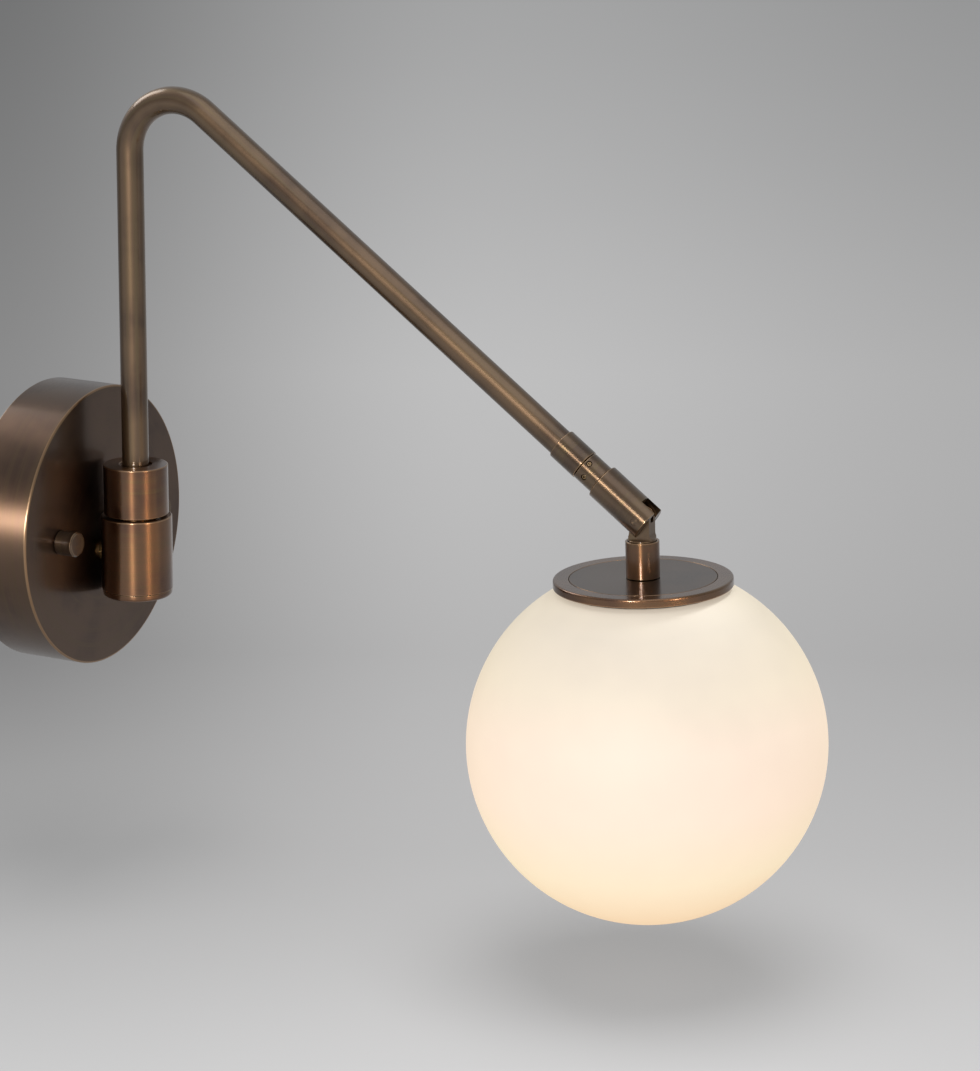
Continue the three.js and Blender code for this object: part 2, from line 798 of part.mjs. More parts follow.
function fitterRing() {
  const recess = plateRadius + fit;
  return turned(
    [
      [ledgeRadius, -discBottom],
      [discRadius - edgeBevel, -discBottom],
      [discRadius, -discBottom + edgeBevel],
      [discRadius, -discTop - edgeBevel],
      [discRadius - edgeBevel, -discTop],
      [recess, -discTop],
      [recess, -plateBottom - fit],
      [ledgeRadius, -plateBottom - fit],
      [ledgeRadius, -discBottom],
    ],
    fine,
  );
}

// A thin wall of glass between two part spheres, open at the top where a plane cuts it at `cutAt`.
function openSphere(radius, thickness, centre, cutAt, sides, steps) {
  const inner = radius - thickness;
  const arc = (r, from, to) =>
    Array.from({ length: steps + 1 }, (_, step) => {
      const angle = THREE.MathUtils.lerp(from, to, step / steps);
      return [r * Math.sin(angle), centre + r * Math.cos(angle)];
    });
  const outside = arc(radius, Math.acos(cutAt / radius), Math.PI);
  const inside = arc(inner, Math.PI, Math.acos(cutAt / inner));
  const clean = (points) => points.map(([r, z]) => [Math.abs(r) < 1e-6 ? 0 : r, z]);
  return turned(clean([...inside, ...outside]), sides);
}

function globe() {
  return openSphere(globeRadius, globeWall, -discTop - globeDrop, glassHeight, globeSides, globeSteps);
}

// A bent strip that hooks under the glass from inside the globe's mouth, seen along Y.
function springClip() {
  const top = -plateBottom - 2 * fit;
  const bend = mouthRadius - 5;
  const hook = mouthRadius - 1.5;
  const centre = [
    [bend - clipFoot, top],
    [bend, top],
    [(bend + hook) / 2, top - clipDrop / 2],
    [hook, top - clipDrop],
    [hook + clipHook, top - clipDrop - fit],
  ];
  const shape = new THREE.Shape();
  centre.forEach(([x, z], i) => (i ? shape.lineTo(x, z) : shape.moveTo(x, z)));
  [...centre].reverse().forEach(([x, z]) => shape.lineTo(x - flat, z - clipThickness));
  shape.closePath();
  return plateOf(shape, -clipWidth / 2, clipWidth / 2).rotateX(Math.PI / 2);
}

function holderCap() {
  const inside = holderRadius - holderWall;
  const low = -holderSplit;
  return turned([
    [inside, low],
    [holderRadius, low],
    [holderRadius, -holderTop - holderShoulder],
    [holderRadius - holderTaper, -holderTop],
    [holeRadius, -holderTop],
    [holeRadius, -holderTop - holderRoof],
    [inside - holderTaper, -holderTop - holderRoof],
    [inside, -holderTop - holderShoulder - holderWall],
    [inside, low],
  ]);
}

function bulb() {
  const centre = -lampTip - bulbLength + bulbRadius;
  const neck = lampCapRadius - shellWall - fit;
  const outer = neck + bulbNeckFlare;
  const cutAt = Math.sqrt(bulbRadius ** 2 - outer ** 2);
  const sphere = openSphere(bulbRadius, bulbWall, centre, cutAt, medium, bulbSteps);
  const overlap = bulbWall / 2;
  const low = centre + cutAt - overlap;
  const high = -lampTip - lampCapLength + lampCapTaper + lampFloor;
  const stem = turned([
    [outer - bulbWall - overlap, low],
    [outer, low],
    [neck, high - bulbStem],
    [neck, high],
    [neck - bulbWall, high],
    [neck - bulbWall, high - bulbStem],
    [outer - bulbWall - overlap, low],
  ]);
  return join(sphere, stem);
}

function bulbCap() {
  const low = -lampTip - lampCapLength;
  const inside = lampCapRadius - shellWall;
  return turned([
    [inside, low],
    [lampCapRadius, low],
    [lampCapRadius, -lampTip - lampCapTaper],
    [lampContact, -lampTip - lampContactHeight],
    [lampContact, -lampTip],
    [0, -lampTip],
    [0, -lampTip - lampCapTaper],
    [inside, -lampTip - lampCapTaper - lampFloor],
    [inside, low],
  ]);
}

function addShadeParts() {
  const lowHolder = -holderSplit - holderLength;
  const inside = holderRadius - holderWall;
  addPart(shade, "knuckle_tongue", knuckleTongue(), agedBrass());
  addPart(shade, "shade_cap", shadeCap(), agedBrass());
  const plate = ring(plateRadius, holeRadius, -plateBottom, -discTop, fine);
  addPart(shade, "fitter_plate", plate, agedBrass());
  addPart(shade, "fitter_ring", fitterRing(), agedBrass());
  const nippleTop = -flangeTop - flangeHeight - tongueSpigot - 2 * fit;
  const nipple = ring(nippleRadius, nippleBore, -holderTop - 4.6, nippleTop);
  addPart(shade, "shade_nipple", nipple, plainBrass());
  const nut = hexNut(nippleNutWidth, holeRadius, -plateBottom - fit - nippleNutHeight, -plateBottom - fit);
  addPart(shade, "shade_nut", nut, plainBrass());
  const gasketLow = -gasketTop - gasketThickness;
  const gasket = ring(mouthRadius + gasketWidth, mouthRadius, gasketLow, -gasketTop, large);
  addPart(shade, "globe_gasket", gasket, plastic(0x2a2a2a, 0.8));
  for (let clip = 0; clip < 3; clip++) {
    const turn = Math.PI / 2 + (clip * 2 * Math.PI) / 3;
    addPart(shade, `globe_clip_${clip + 1}`, springClip().rotateZ(turn), steel());
  }
  addPart(shade, "globe", globe(), opalGlass());
  addPart(shade, "lampholder_cap", holderCap(), plastic(0xe8e4dc, 0.5));
  const body = ring(holderRadius, inside, lowHolder, -holderSplit - flat);
  addPart(shade, "lampholder_body", body, plastic(0xe8e4dc, 0.5));
  const insert = ring(inside - fit, cableRadius + fit, -shellTop + fit, -holderSplit - fit, small);
  addPart(shade, "lampholder_insert", insert, plastic(0xf2efe8, 0.6));
  const shellOuter = lampCapRadius + fit + shellWall;
  const shell = ring(shellOuter, lampCapRadius + fit, lowHolder + 4, -shellTop);
  addPart(shade, "screw_shell", shell, plainBrass());
  const contact = rod(cableRadius, -lampTip + fit, -holderSplit - fit - 2, 8);
  addPart(shade, "centre_contact", contact, plainBrass());
  const cableTop = -flangeTop;
  const cable = rod(wireSlot / 2 - flat, -holderSplit - fit - 2 + fit, cableTop, 8);
  addPart(shade, "shade_cable", cable, plastic(0x1c1c1c, 0.5));
  addPart(shade, "bulb_cap", bulbCap(), metal(0xb9b9b4, 0.3));
  addPart(shade, "bulb_glass", bulb(), opalGlass());
}

addWallParts();
addSwivelParts();
addArmParts();
addArmEndParts();
addShadeParts();

export default light;
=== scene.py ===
import json
import math
import bmesh
import bpy
from mathutils import Matrix, Vector


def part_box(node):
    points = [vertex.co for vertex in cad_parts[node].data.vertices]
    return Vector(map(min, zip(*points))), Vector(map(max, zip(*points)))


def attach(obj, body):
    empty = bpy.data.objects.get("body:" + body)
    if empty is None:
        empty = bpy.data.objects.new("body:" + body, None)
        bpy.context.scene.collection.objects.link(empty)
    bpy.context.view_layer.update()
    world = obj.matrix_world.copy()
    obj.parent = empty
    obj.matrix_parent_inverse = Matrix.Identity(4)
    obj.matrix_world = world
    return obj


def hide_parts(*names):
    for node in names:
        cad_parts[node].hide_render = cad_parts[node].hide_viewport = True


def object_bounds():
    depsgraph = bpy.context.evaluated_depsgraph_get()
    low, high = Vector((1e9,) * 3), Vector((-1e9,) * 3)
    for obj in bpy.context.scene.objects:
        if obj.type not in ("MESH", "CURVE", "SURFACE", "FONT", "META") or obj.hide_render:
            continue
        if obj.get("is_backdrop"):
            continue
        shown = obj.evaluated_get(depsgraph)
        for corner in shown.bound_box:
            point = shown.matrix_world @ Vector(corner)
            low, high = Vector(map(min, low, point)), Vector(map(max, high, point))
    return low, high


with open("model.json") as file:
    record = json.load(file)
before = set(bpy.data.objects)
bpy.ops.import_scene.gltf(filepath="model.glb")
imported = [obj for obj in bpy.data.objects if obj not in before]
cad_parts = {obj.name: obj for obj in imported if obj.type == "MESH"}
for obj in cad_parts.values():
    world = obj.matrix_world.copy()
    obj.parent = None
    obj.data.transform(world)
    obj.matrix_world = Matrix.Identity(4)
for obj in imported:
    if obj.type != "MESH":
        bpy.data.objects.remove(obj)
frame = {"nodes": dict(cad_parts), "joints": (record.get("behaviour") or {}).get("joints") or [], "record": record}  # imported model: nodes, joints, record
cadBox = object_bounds()
mm = 0.001
clearance = 0.3 * mm  # between pieces that fit into each other
over = 1 * mm  # how far a cutter runs past the face that it opens
print("frame loaded,", len(frame["nodes"]), "nodes")


# camera, at the height and side that the light is seen from; metres and degrees
viewpoint = {
    "place": (-1.358321, -0.928643, 0.425778),
    "azimuth": -62.684,
    "elevation": 14.869,
    "roll": 0.415,
    "lens": 124.37,
    "sensor": 36,
    "clip": (0.05, 60),
}


def backwards(azimuth, elevation):
    # unit vector from the object towards a camera or lamp; azimuth 0 stands on the -Y side
    a, e = math.radians(azimuth), math.radians(elevation)
    return Vector((math.sin(a) * math.cos(e), -math.cos(a) * math.cos(e), math.sin(e)))


def makeCamera(look):
    back = backwards(look["azimuth"], look["elevation"])
    level = Vector((0, 0, 1)).cross(back).normalized()
    upright = back.cross(level)
    roll = math.radians(look["roll"])
    right = level * math.cos(roll) + upright * math.sin(roll)
    data = bpy.data.cameras.new("camera")
    data.lens, data.sensor_width = look["lens"], look["sensor"]
    data.clip_start, data.clip_end = look["clip"]
    camera = bpy.data.objects.new("camera", data)
    bpy.context.scene.collection.objects.link(camera)
    turn = Matrix((right, back.cross(right), back)).transposed().to_4x4()
    camera.matrix_world = Matrix.Translation(look["place"]) @ turn
    bpy.context.scene.camera = camera


makeCamera(viewpoint)
bpy.context.scene.view_settings.view_transform = "Standard"


# places: local Z runs along each turned axis, local X along the row frame's X
def placeOf(origin, up):
    z = Vector(up).normalized()
    x = Vector((1, 0, 0))
    turn = Matrix((x, z.cross(x), z)).transposed()
    return Matrix.Translation(Vector(origin)) @ turn.to_4x4()


def jointNamed(name):
    return next(joint for joint in frame["joints"] if joint["name"] == name)


def middle(node):
    low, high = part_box(node)
    return (low + high) / 2


def reach(node, place):
    # lowest and highest point along the place's axis, and the largest radius round it
    inverse = place.inverted()
    points = [inverse @ vertex.co for vertex in frame["nodes"][node].data.vertices]
    heights = [point.z for point in points]
    return min(heights), max(heights), max(point.xy.length for point in points)


swing = Vector(jointNamed("arm_swing")["pos_m"])  # on the swivel's axis
pivot = Vector(jointNamed("knuckle_turn")["pos_m"])  # where the turning and tilting axes cross
armDown = Vector(jointNamed("knuckle_turn")["axis"]).normalized()  # down the arm's slope
globeLow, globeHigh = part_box("globe")
globeOuter = (globeHigh.x - globeLow.x) / 2
globeCentre = Vector((0, (globeLow.y + globeHigh.y) / 2, globeLow.z + globeOuter))

wallPlace = placeOf((0, 0, 0), (0, -1, 0))
swivelPlace = placeOf((swing.x, swing.y, 0), (0, 0, 1))
armPlace = placeOf(pivot, -armDown)
shadePlace = placeOf(pivot, pivot - globeCentre)


# shader maths: a wrapped socket adds its own Math nodes
class Wire:
    def __init__(self, finish, socket):
        self.finish = finish
        self.socket = socket

    def out(self, index):
        return Wire(self.finish, self.socket.node.outputs[index])

    def maths(self, operation, first, second=0.0):
        return self.finish.node("ShaderNodeMath", {"operation": operation}, {0: first, 1: second})

    def __add__(self, other):
        return self.maths("ADD", self, other)

    def __sub__(self, other):
        return self.maths("SUBTRACT", self, other)

    def __mul__(self, other):
        return self.maths("MULTIPLY", self, other)

    def __truediv__(self, other):
        return self.maths("DIVIDE", self, other)

    def __pow__(self, other):
        return self.maths("POWER", self, other)

    def __rsub__(self, other):
        return self.maths("SUBTRACT", other, self)

    def __rtruediv__(self, other):
        return self.maths("DIVIDE", other, self)

    __radd__ = __add__
    __rmul__ = __mul__


class Finish:
    # the node tree of a material or world
    def __init__(self, owner):
        owner.use_nodes = True
        self.owner = owner
        self.tree = owner.node_tree
        self.tree.nodes.clear()

    def node(self, kind, settings=None, sockets=None, out=0):
        # settings go in before the sockets' values and links
        made = self.tree.nodes.new(kind)
        for key, value in (settings or {}).items():
            if key == "stops":
                setStops(made.color_ramp, value)
            else:
                setattr(made, key, value)
        for key, value in (sockets or {}).items():
            if isinstance(value, Wire):
                self.tree.links.new(value.socket, made.inputs[key])
            else:
                made.inputs[key].default_value = value
        return Wire(self, made.outputs[out] if len(made.outputs) else None)

    def mixed(self, low, high, share):
        return self.node("ShaderNodeMix", {"data_type": "RGBA"}, {0: share, 6: low, 7: high}, out=2)

    def noise(self, vector, scale, detail=2.0, roughness=0.5):
        sockets = {"Vector": vector, "Scale": scale, "Detail": detail, "Roughness": roughness}
        return self.node("ShaderNodeTexNoise", None, sockets)

    def between(self, value, low, high):
        # 0 below low, 1 above high, smooth between
        settings = {"interpolation_type": "SMOOTHSTEP"}
        return self.node("ShaderNodeMapRange", settings, {0: value, 1: low, 2: high})

    def bumped(self, height, strength, distance):
        sockets = {"Height": height, "Strength": strength, "Distance": distance}
        return self.node("ShaderNodeBump", None, sockets)

    def surface(self, sockets):
        shader = self.node("ShaderNodeBsdfPrincipled", None, sockets)
        self.node("ShaderNodeOutputMaterial", None, {0: shader})
        return self.owner

    def objectPoint(self):
        return self.node("ShaderNodeTexCoord", out=3)

    def split(self, vector):
        # X, Y and Z of a vector
        x = self.node("ShaderNodeSeparateXYZ", None, {0: vector})
        return x, x.out(1), x.out(2)

    def joined(self, x, y, z):
        return self.node("ShaderNodeCombineXYZ", None, {0: x, 1: y, 2: z})

    def attribute(self, name, out):
        # out is 1 for a vector, 2 for a value
        return self.node("ShaderNodeAttribute", {"attribute_name": name}, out=out)


def newFinish(name):
    return Finish(bpy.data.materials.new(name))


def setStops(ramp, stops):
    # stops are (place, colour) pairs
    while len(ramp.elements) < len(stops):
        ramp.elements.new(1.0)
    for element, (place, colour) in zip(ramp.elements, stops):
        element.position, element.color = place, colour


def tone(red, green, blue):
    # a screen colour, 0 to 255, as the shader's linear colour
    def linear(value):
        value = value / 255
        return value / 12.92 if value <= 0.04045 else ((value + 0.055) / 1.055) ** 2.4
    return (linear(red), linear(green), linear(blue), 1.0)


def grey(value):
    return (value, value, value, 1)


# aged brass: dark patina over fine lathe or drawing lines, rubbed brighter along the edges
brassTones = {
    "deep": (84, 56, 42),
    "body": (117, 82, 53),
    "olive": (106, 82, 50),
    "pale": (132, 98, 70),
    "worn": (186, 150, 112),
}
tubeTones = {
    "deep": (78, 60, 46),
    "body": (106, 84, 62),
    "olive": (106, 89, 60),
    "pale": (126, 104, 80),
    "worn": (186, 150, 112),
}
# a darker, greyer copy of the brass tones for the canopy and the disc: painted shade
shadedBrassTones = {
    "deep": (70, 52, 42),
    "body": (90, 69, 54),
    "olive": (88, 70, 50),
    "pale": (106, 85, 66),
    "worn": (186, 150, 112),
}
# the lines' pitch, and how far they wander (turned) or stretch (drawn); sizes of clouds and specks
brassGrain = {
    "turnedFine": (0.16 * mm, 1.3),
    "turnedBroad": (2.2 * mm, 0.5),
    "drawnFine": (0.25 * mm, 30 * mm),
    "drawnBroad": (2.6 * mm, 90 * mm),
    "cloud": 26 * mm,
    "speck": 1.1 * mm,
    "height": 0.02 * mm,
}


def latheLines(finish, point, pitch, wander):
    # lines round the local Z axis, on side walls and end faces alike
    x, y, z = finish.split(point)
    radius = (x * x + y * y + 1e-8) ** 0.5
    place = finish.joined(x / radius * wander, y / radius * wander, (radius + z) / pitch)
    return finish.noise(place, 1.0, 3.0, 0.6)


def drawnLines(finish, pitch, stretch):
    # streaks along a tube, from the attributes that its sweep leaves on the mesh
    across, up = finish.split(finish.attribute("around", 1))[:2]
    along = finish.attribute("along", 2)
    return finish.noise(finish.joined(across / pitch, up / pitch, along / stretch), 1.0, 3.0, 0.6)


def agedBrass(name, look):
    finish = newFinish(name)
    point = finish.objectPoint()
    if look["lines"] == "drawn":
        fine = drawnLines(finish, *brassGrain["drawnFine"])
        broad = drawnLines(finish, *brassGrain["drawnBroad"])
    else:
        fine = latheLines(finish, point, *brassGrain["turnedFine"])
        broad = latheLines(finish, point, *brassGrain["turnedBroad"])
    cloud = finish.noise(point, 1 / brassGrain["cloud"], 3.0)
    speck = finish.noise(point, 1 / brassGrain["speck"], 2.0, 0.7)
    tones = {key: tone(*value) for key, value in look["tones"].items()}
    colour = finish.mixed(tones["deep"], tones["body"], finish.between(cloud, 0.25, 0.6))
    colour = finish.mixed(colour, tones["olive"], finish.between(broad, 0.45, 0.75) * 0.7)
    colour = finish.mixed(colour, tones["pale"], finish.between(fine, 0.5, 0.8) * look["grain"])
    colour = finish.mixed(colour, tones["deep"], finish.between(speck, 0.6, 0.8) * look["specks"])
    wear = finish.attribute("wear", 2)  # 1 along the small roundings
    rubbed = finish.between(wear * (0.55 + 0.9 * cloud), 0.25, 0.85) * look["wear"]
    colour = finish.mixed(colour, tones["worn"], rubbed)
    rough = look["roughness"] + 0.12 * (fine - 0.5) + 0.1 * (speck - 0.5) - 0.06 * rubbed
    height = fine + 0.35 * speck
    return finish.surface({
        "Base Color": colour,
        "Metallic": 1.0,
        "Roughness": rough,
        "Anisotropic": look["stretch"],
        "Anisotropic Rotation": 0.25,
        "Coat Weight": look["lacquer"],
        "Coat Roughness": 0.16,
        "Coat IOR": 1.5,
        "Normal": finish.bumped(height, look["relief"], brassGrain["height"]),
    })


# stretch drags the highlights across the lines; grain, specks and wear are how much of each shows
turnedLook = {
    "tones": brassTones,
    "lines": "turned",
    "roughness": 0.36,
    "stretch": 0.85,
    "grain": 0.35,
    "specks": 0.25,
    "wear": 0.45,
    "relief": 0.2,
    "lacquer": 0.8,
}
canopyLook = {
    **turnedLook,
    "tones": shadedBrassTones,
    "roughness": 0.34,
    "stretch": 0.5,
    "grain": 0.25,
    "lacquer": 0.5,
}
ringLook = {**turnedLook, "roughness": 0.28, "stretch": 0.3, "grain": 0.2, "relief": 0.1}
discLook = {**ringLook, "tones": shadedBrassTones, "roughness": 0.24, "lacquer": 0.4}
knuckleLook = {**turnedLook, "tones": tubeTones, "relief": 0.07}
tubeLook = {**knuckleLook, "lines": "drawn", "roughness": 0.4, "stretch": 0.0, "relief": 0.06}
smallLook = {**turnedLook, "tones": tubeTones, "roughness": 0.38, "stretch": 0.2, "specks": 0.6}

turnedBrass = agedBrass("turned_brass", turnedLook)
canopyBrass = agedBrass("canopy_brass", canopyLook)
discBrass = agedBrass("disc_brass", discLook)
ringBrass = agedBrass("ring_brass", ringLook)
knuckleBrass = agedBrass("knuckle_brass", knuckleLook)
tubeBrass = agedBrass("tube_brass", tubeLook)
smallBrass = agedBrass("small_brass", smallLook)


def plainMetal(name, body, pale, roughness):
    # turned or plated metal: soft clouds and a fine grain
    finish = newFinish(name)
    point = finish.objectPoint()
    cloud = finish.noise(point, 1 / (7 * mm), 3.0)
    grain = finish.noise(point, 1 / (0.5 * mm), 2.0, 0.7)
    colour = finish.mixed(tone(*body), tone(*pale), finish.between(cloud + 0.4 * grain, 0.45, 0.9))
    return finish.surface({
        "Base Color": colour,
        "Metallic": 1.0,
        "Roughness": roughness + 0.2 * (grain - 0.5),
        "Normal": finish.bumped(grain, 0.2, 0.03 * mm),
    })


def plainPlastic(name, body, pale, roughness, grainSize=0.4):
    # moulded or glazed material; the grain's size is in millimetres
    finish = newFinish(name)
    point = finish.objectPoint()
    cloud = finish.noise(point, 1 / (9 * mm), 3.0)
    grain = finish.noise(point, 1 / (grainSize * mm), 2.0, 0.6)
    colour = finish.mixed(tone(*body), tone(*pale), finish.between(cloud, 0.35, 0.7))
    return finish.surface({
        "Base Color": colour,
        "Roughness": roughness + 0.15 * (grain - 0.5),
        "Normal": finish.bumped(grain, 0.25, 0.05 * mm),
    })


# opal glass: lit from inside, each tone at its height from the foot, 0, to the crown, 1; the upper
# tones grow darker and greyer towards the crown as painted shade under the disc
opalLook = {
    "tones": (
        (0.0, (255, 212, 174)),
        (0.22, (255, 231, 205)),
        (0.42, (255, 227, 213)),
        (0.6, (248, 223, 211)),
        (0.74, (228, 211, 197)),
        (0.88, (200, 186, 177)),
    ),
    "glass": ((124, 121, 117), (134, 130, 124)),
    "glow": 0.8,
    "drift": 60 * mm,
    "ripple": 14 * mm,
}


def opalGlass(name, look):
    finish = newFinish(name)
    point = finish.objectPoint()
    height = finish.split(point)[2]
    drift = finish.noise(point, 1 / look["drift"], 2.0)
    level = height / globeOuter * 0.5 + 0.5 + 0.04 * (drift - 0.5)
    stops = [(place, tone(*colour)) for place, colour in look["tones"]]
    # the glow's colour by height, darker towards the crown: painted shade under the disc
    glow = finish.node("ShaderNodeValToRGB", {"stops": stops}, {0: level})
    ripple = finish.noise(point, 1 / look["ripple"], 1.0)
    dark, pale = [tone(*colour) for colour in look["glass"]]
    return finish.surface({
        "Base Color": finish.mixed(dark, pale, ripple),
        "Roughness": 0.62 + 0.1 * (ripple - 0.5),
        "Emission Color": glow,
        "Emission Strength": look["glow"],
        "Coat Weight": 1.0,
        "Coat Roughness": 0.6,
        "Coat IOR": 1.18,
        "Coat Tint": (1.0, 1.0, 0.93, 1.0),
        "Normal": finish.bumped(ripple, 0.05, 0.4 * mm),
    })


print("finishes mixed")


# mesh making; wear goes to the roundings that are small enough to be an edge
edgeBelow = 0.8 * mm


def meshPiece(name, build, place, attributes=()):
    data = bpy.data.meshes.new(name)
    build.to_mesh(data)
    build.free()
    for key, kind, values in attributes:
        layer = data.attributes.new(key, kind, "POINT")
        field = "vector" if kind == "FLOAT_VECTOR" else "value"
        layer.data.foreach_set(field, values)
    piece = bpy.data.objects.new(name, data)
    bpy.context.scene.collection.objects.link(piece)
    piece.matrix_world = place
    return piece


def smooth(piece, sharpAbove=34):
    data = piece.data
    data.shade_smooth()
    data.set_sharp_from_angle(angle=math.radians(sharpAbove))
    return piece


def rounded(corner, before, after, radius, steps=6):
    # an arc at a profile's corner as (radius, height, wear), with a guard point on each side of it
    here = Vector(corner)
    back, on = (Vector(before) - here).normalized(), (Vector(after) - here).normalized()
    half = back.angle(on) / 2
    setback = radius / math.tan(half)
    centre = here + (back + on).normalized() * (radius / math.sin(half))
    start, end = here + back * setback - centre, here + on * setback - centre
    sweep = start.angle(end)
    guard = 0.5 * radius
    points = [(*(centre + start + back * guard), 0.0)]
    rub = 1.0 if radius < edgeBelow else 0.0
    for step in range(steps + 1):
        part = step / steps
        first, last = math.sin((1 - part) * sweep), math.sin(part * sweep)
        spoke = (start * first + end * last) / math.sin(sweep)
        points.append((*(centre + spoke), rub))
    points.append((*(centre + end + on * guard), 0.0))
    return points


def softened(profile, closed):
    # profile corners are (radius, height) or (radius, height, rounding)
    points = []
    for index, corner in enumerate(profile):
        inside = closed or 0 < index < len(profile) - 1
        if inside and len(corner) > 2:
            before, after = profile[index - 1], profile[(index + 1) % len(profile)]
            points += rounded(corner[:2], before[:2], after[:2], corner[2])
        else:
            points.append((corner[0], corner[1], 0.0))
    return points


def turned(name, place, profile, closed=False, sides=128):
    # a profile turned round the place's Z axis; it starts and ends on the axis, or closes on itself
    build = bmesh.new()
    rings, wear = [], []
    angles = [2 * math.pi * side / sides for side in range(sides)]
    for radius, height, rub in softened(profile, closed):
        if radius < 1e-7:  # a point on the axis
            ring = [build.verts.new((0, 0, height))]
        else:
            spokes = [(radius * math.cos(a), radius * math.sin(a)) for a in angles]
            ring = [build.verts.new((x, y, height)) for x, y in spokes]
        rings.append(ring)
        wear += [rub] * len(ring)
    for low, high in zip(rings, rings[1:] + rings[:1] if closed else rings[1:]):
        for side in range(sides):
            after = (side + 1) % sides
            below = [low[side % len(low)], low[after % len(low)]]
            above = [high[after % len(high)], high[side % len(high)]]
            corners = list(dict.fromkeys(below + above))  # three where a ring is a point
            if len(corners) > 2:
                build.faces.new(corners)
    bmesh.ops.recalc_face_normals(build, faces=build.faces)
    return smooth(meshPiece(name, build, place, [("wear", "FLOAT", wear)]))


def rodCutter(radius, low, high, place, sides=64):
    profile = [(0, low), (radius, low), (radius, high), (0, high)]
    return turned("cutter", place, profile, sides=sides)


def blockCutter(low, high, place):
    build = bmesh.new()
    bmesh.ops.create_cube(build, size=1)
    size = Vector(high) - Vector(low)
    for vertex in build.verts:
        vertex.co = [start + (at + 0.5) * side for start, at, side in zip(low, vertex.co, size)]
    return meshPiece("cutter", build, place)


def slab(name, first, second, place):
    # a solid between two outlines with the same number of points
    build = bmesh.new()
    bottom, top = [[build.verts.new(point) for point in outline] for outline in (first, second)]
    build.faces.new(bottom)
    build.faces.new(top)
    for index in range(len(bottom)):
        after = (index + 1) % len(bottom)
        build.faces.new((bottom[index], bottom[after], top[after], top[index]))
    bmesh.ops.recalc_face_normals(build, faces=build.faces)
    return meshPiece(name, build, place)


def carved(piece, *tools, operation="DIFFERENCE"):
    for tool in tools:
        change = piece.modifiers.new("carve", "BOOLEAN")
        change.operation, change.solver, change.object = operation, "EXACT", tool
    settle(piece)
    for tool in tools:
        bpy.data.objects.remove(tool)
    return smooth(piece)


def settle(piece):
    # modifiers become the mesh
    bpy.context.view_layer.update()
    shaped = piece.evaluated_get(bpy.context.evaluated_depsgraph_get())
    piece.data = bpy.data.meshes.new_from_object(shaped)
    piece.modifiers.clear()


def bevelled(piece, width):
    bevel = piece.modifiers.new("edges", "BEVEL")
    bevel.width, bevel.segments = width, 2
    bevel.limit_method, bevel.angle_limit = "ANGLE", math.radians(50)


def fitted(piece, body, slotName, material, *nodes):
    # the piece's finish, the body that it rides on, and the nodes that it stands for
    piece.data.materials.clear()
    piece.data.materials.append(material)
    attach(piece, body)
    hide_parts(*nodes)
    return piece


def turnAcross(place, side=1):
    # a place whose Z runs along the first place's X, for pins and pin holes
    return place @ Matrix.Rotation(side * math.pi / 2, 4, "Y")


# canopy: a flat-fronted drawn cup
canopyShape = {
    "wall": 1.2 * mm,
    "edge": 0.7 * mm,
    "rim": 0.3 * mm,
    "nippleHole": 5.3 * mm,
    "studHole": 2.3 * mm,
    "sides": 256,
}


def makeCanopy(shape):
    low, high, radius = reach("canopy", wallPlace)
    inner, floor = radius - shape["wall"], high - shape["wall"]
    piece = turned("canopy_shell", wallPlace, [
        (0, floor),
        (inner, floor, shape["edge"]),
        (inner, low),
        (radius, low, shape["rim"]),
        (radius, high, shape["edge"]),
        (0, high),
    ], sides=shape["sides"])
    holes = [("canopy_nipple", shape["nippleHole"])]
    holes += [(f"canopy_stud_{hand}", shape["studHole"]) for hand in ("left", "right")]
    cutters = []
    for node, hole in holes:
        at = wallPlace.inverted() @ middle(node)
        place = wallPlace @ Matrix.Translation((at.x, at.y, 0))
        cutters.append(rodCutter(hole, floor - over, high + over, place))
    return fitted(carved(piece, *cutters), "wall_mount", "aged_brass", canopyBrass, "canopy")


makeCanopy(canopyShape)

# thumb nuts: a fine cross knurl between a plain foot and a bevelled face
thumbNut = {
    "teeth": 40,
    "sidesPerTooth": 6,
    "rings": 36,
    "depth": 0.13 * mm,
    "foot": 0.5 * mm,
    "footInset": 0.3 * mm,
    "plain": 1.0 * mm,
    "bevel": 0.7 * mm,
    "faceEdges": (0.15 * mm, 0.12 * mm),
    "hole": 2.3 * mm,
    "roof": 1.6 * mm,
}


def makeThumbNut(hand, shape):
    at = wallPlace.inverted() @ middle(f"thumb_nut_{hand}")
    place = wallPlace @ Matrix.Translation((at.x, at.y, 0))
    low, high, radius = reach(f"thumb_nut_{hand}", place)
    knurlLow, knurlHigh = low + shape["foot"], high - shape["bevel"] - shape["plain"]
    rings = shape["rings"]
    profile = [(0, low), (radius - shape["footInset"], low)]
    for ring in range(rings + 1):
        profile.append((radius, knurlLow + (knurlHigh - knurlLow) * ring / rings))
    outerEdge, innerEdge = shape["faceEdges"]
    profile.append((radius, high - shape["bevel"], outerEdge))
    profile += [(radius - shape["bevel"], high, innerEdge), (0, high)]
    sides = shape["teeth"] * shape["sidesPerTooth"]
    piece = turned(f"thumb_knob_{hand}", place, profile, sides=sides)
    pitch = 2 * math.pi * radius / shape["teeth"]
    for vertex in piece.data.vertices:
        onSide = vertex.co.xy.length > radius - 0.01 * mm
        if not onSide or not knurlLow < vertex.co.z < knurlHigh:
            continue
        turn = math.atan2(vertex.co.y, vertex.co.x) * shape["teeth"] / 2
        lean = (vertex.co.z - knurlLow) / pitch * math.pi
        groove = 1 - min(abs(math.sin(turn + lean)), abs(math.sin(turn - lean))) ** 0.7
        scale = 1 - shape["depth"] * groove / radius
        vertex.co.xy = vertex.co.xy * scale
    carved(piece, rodCutter(shape["hole"], low - over, high - shape["roof"], place))
    return fitted(piece, "wall_mount", "aged_brass", smallBrass, f"thumb_nut_{hand}")


for hand in ("left", "right"):
    makeThumbNut(hand, thumbNut)
print("canopy done")

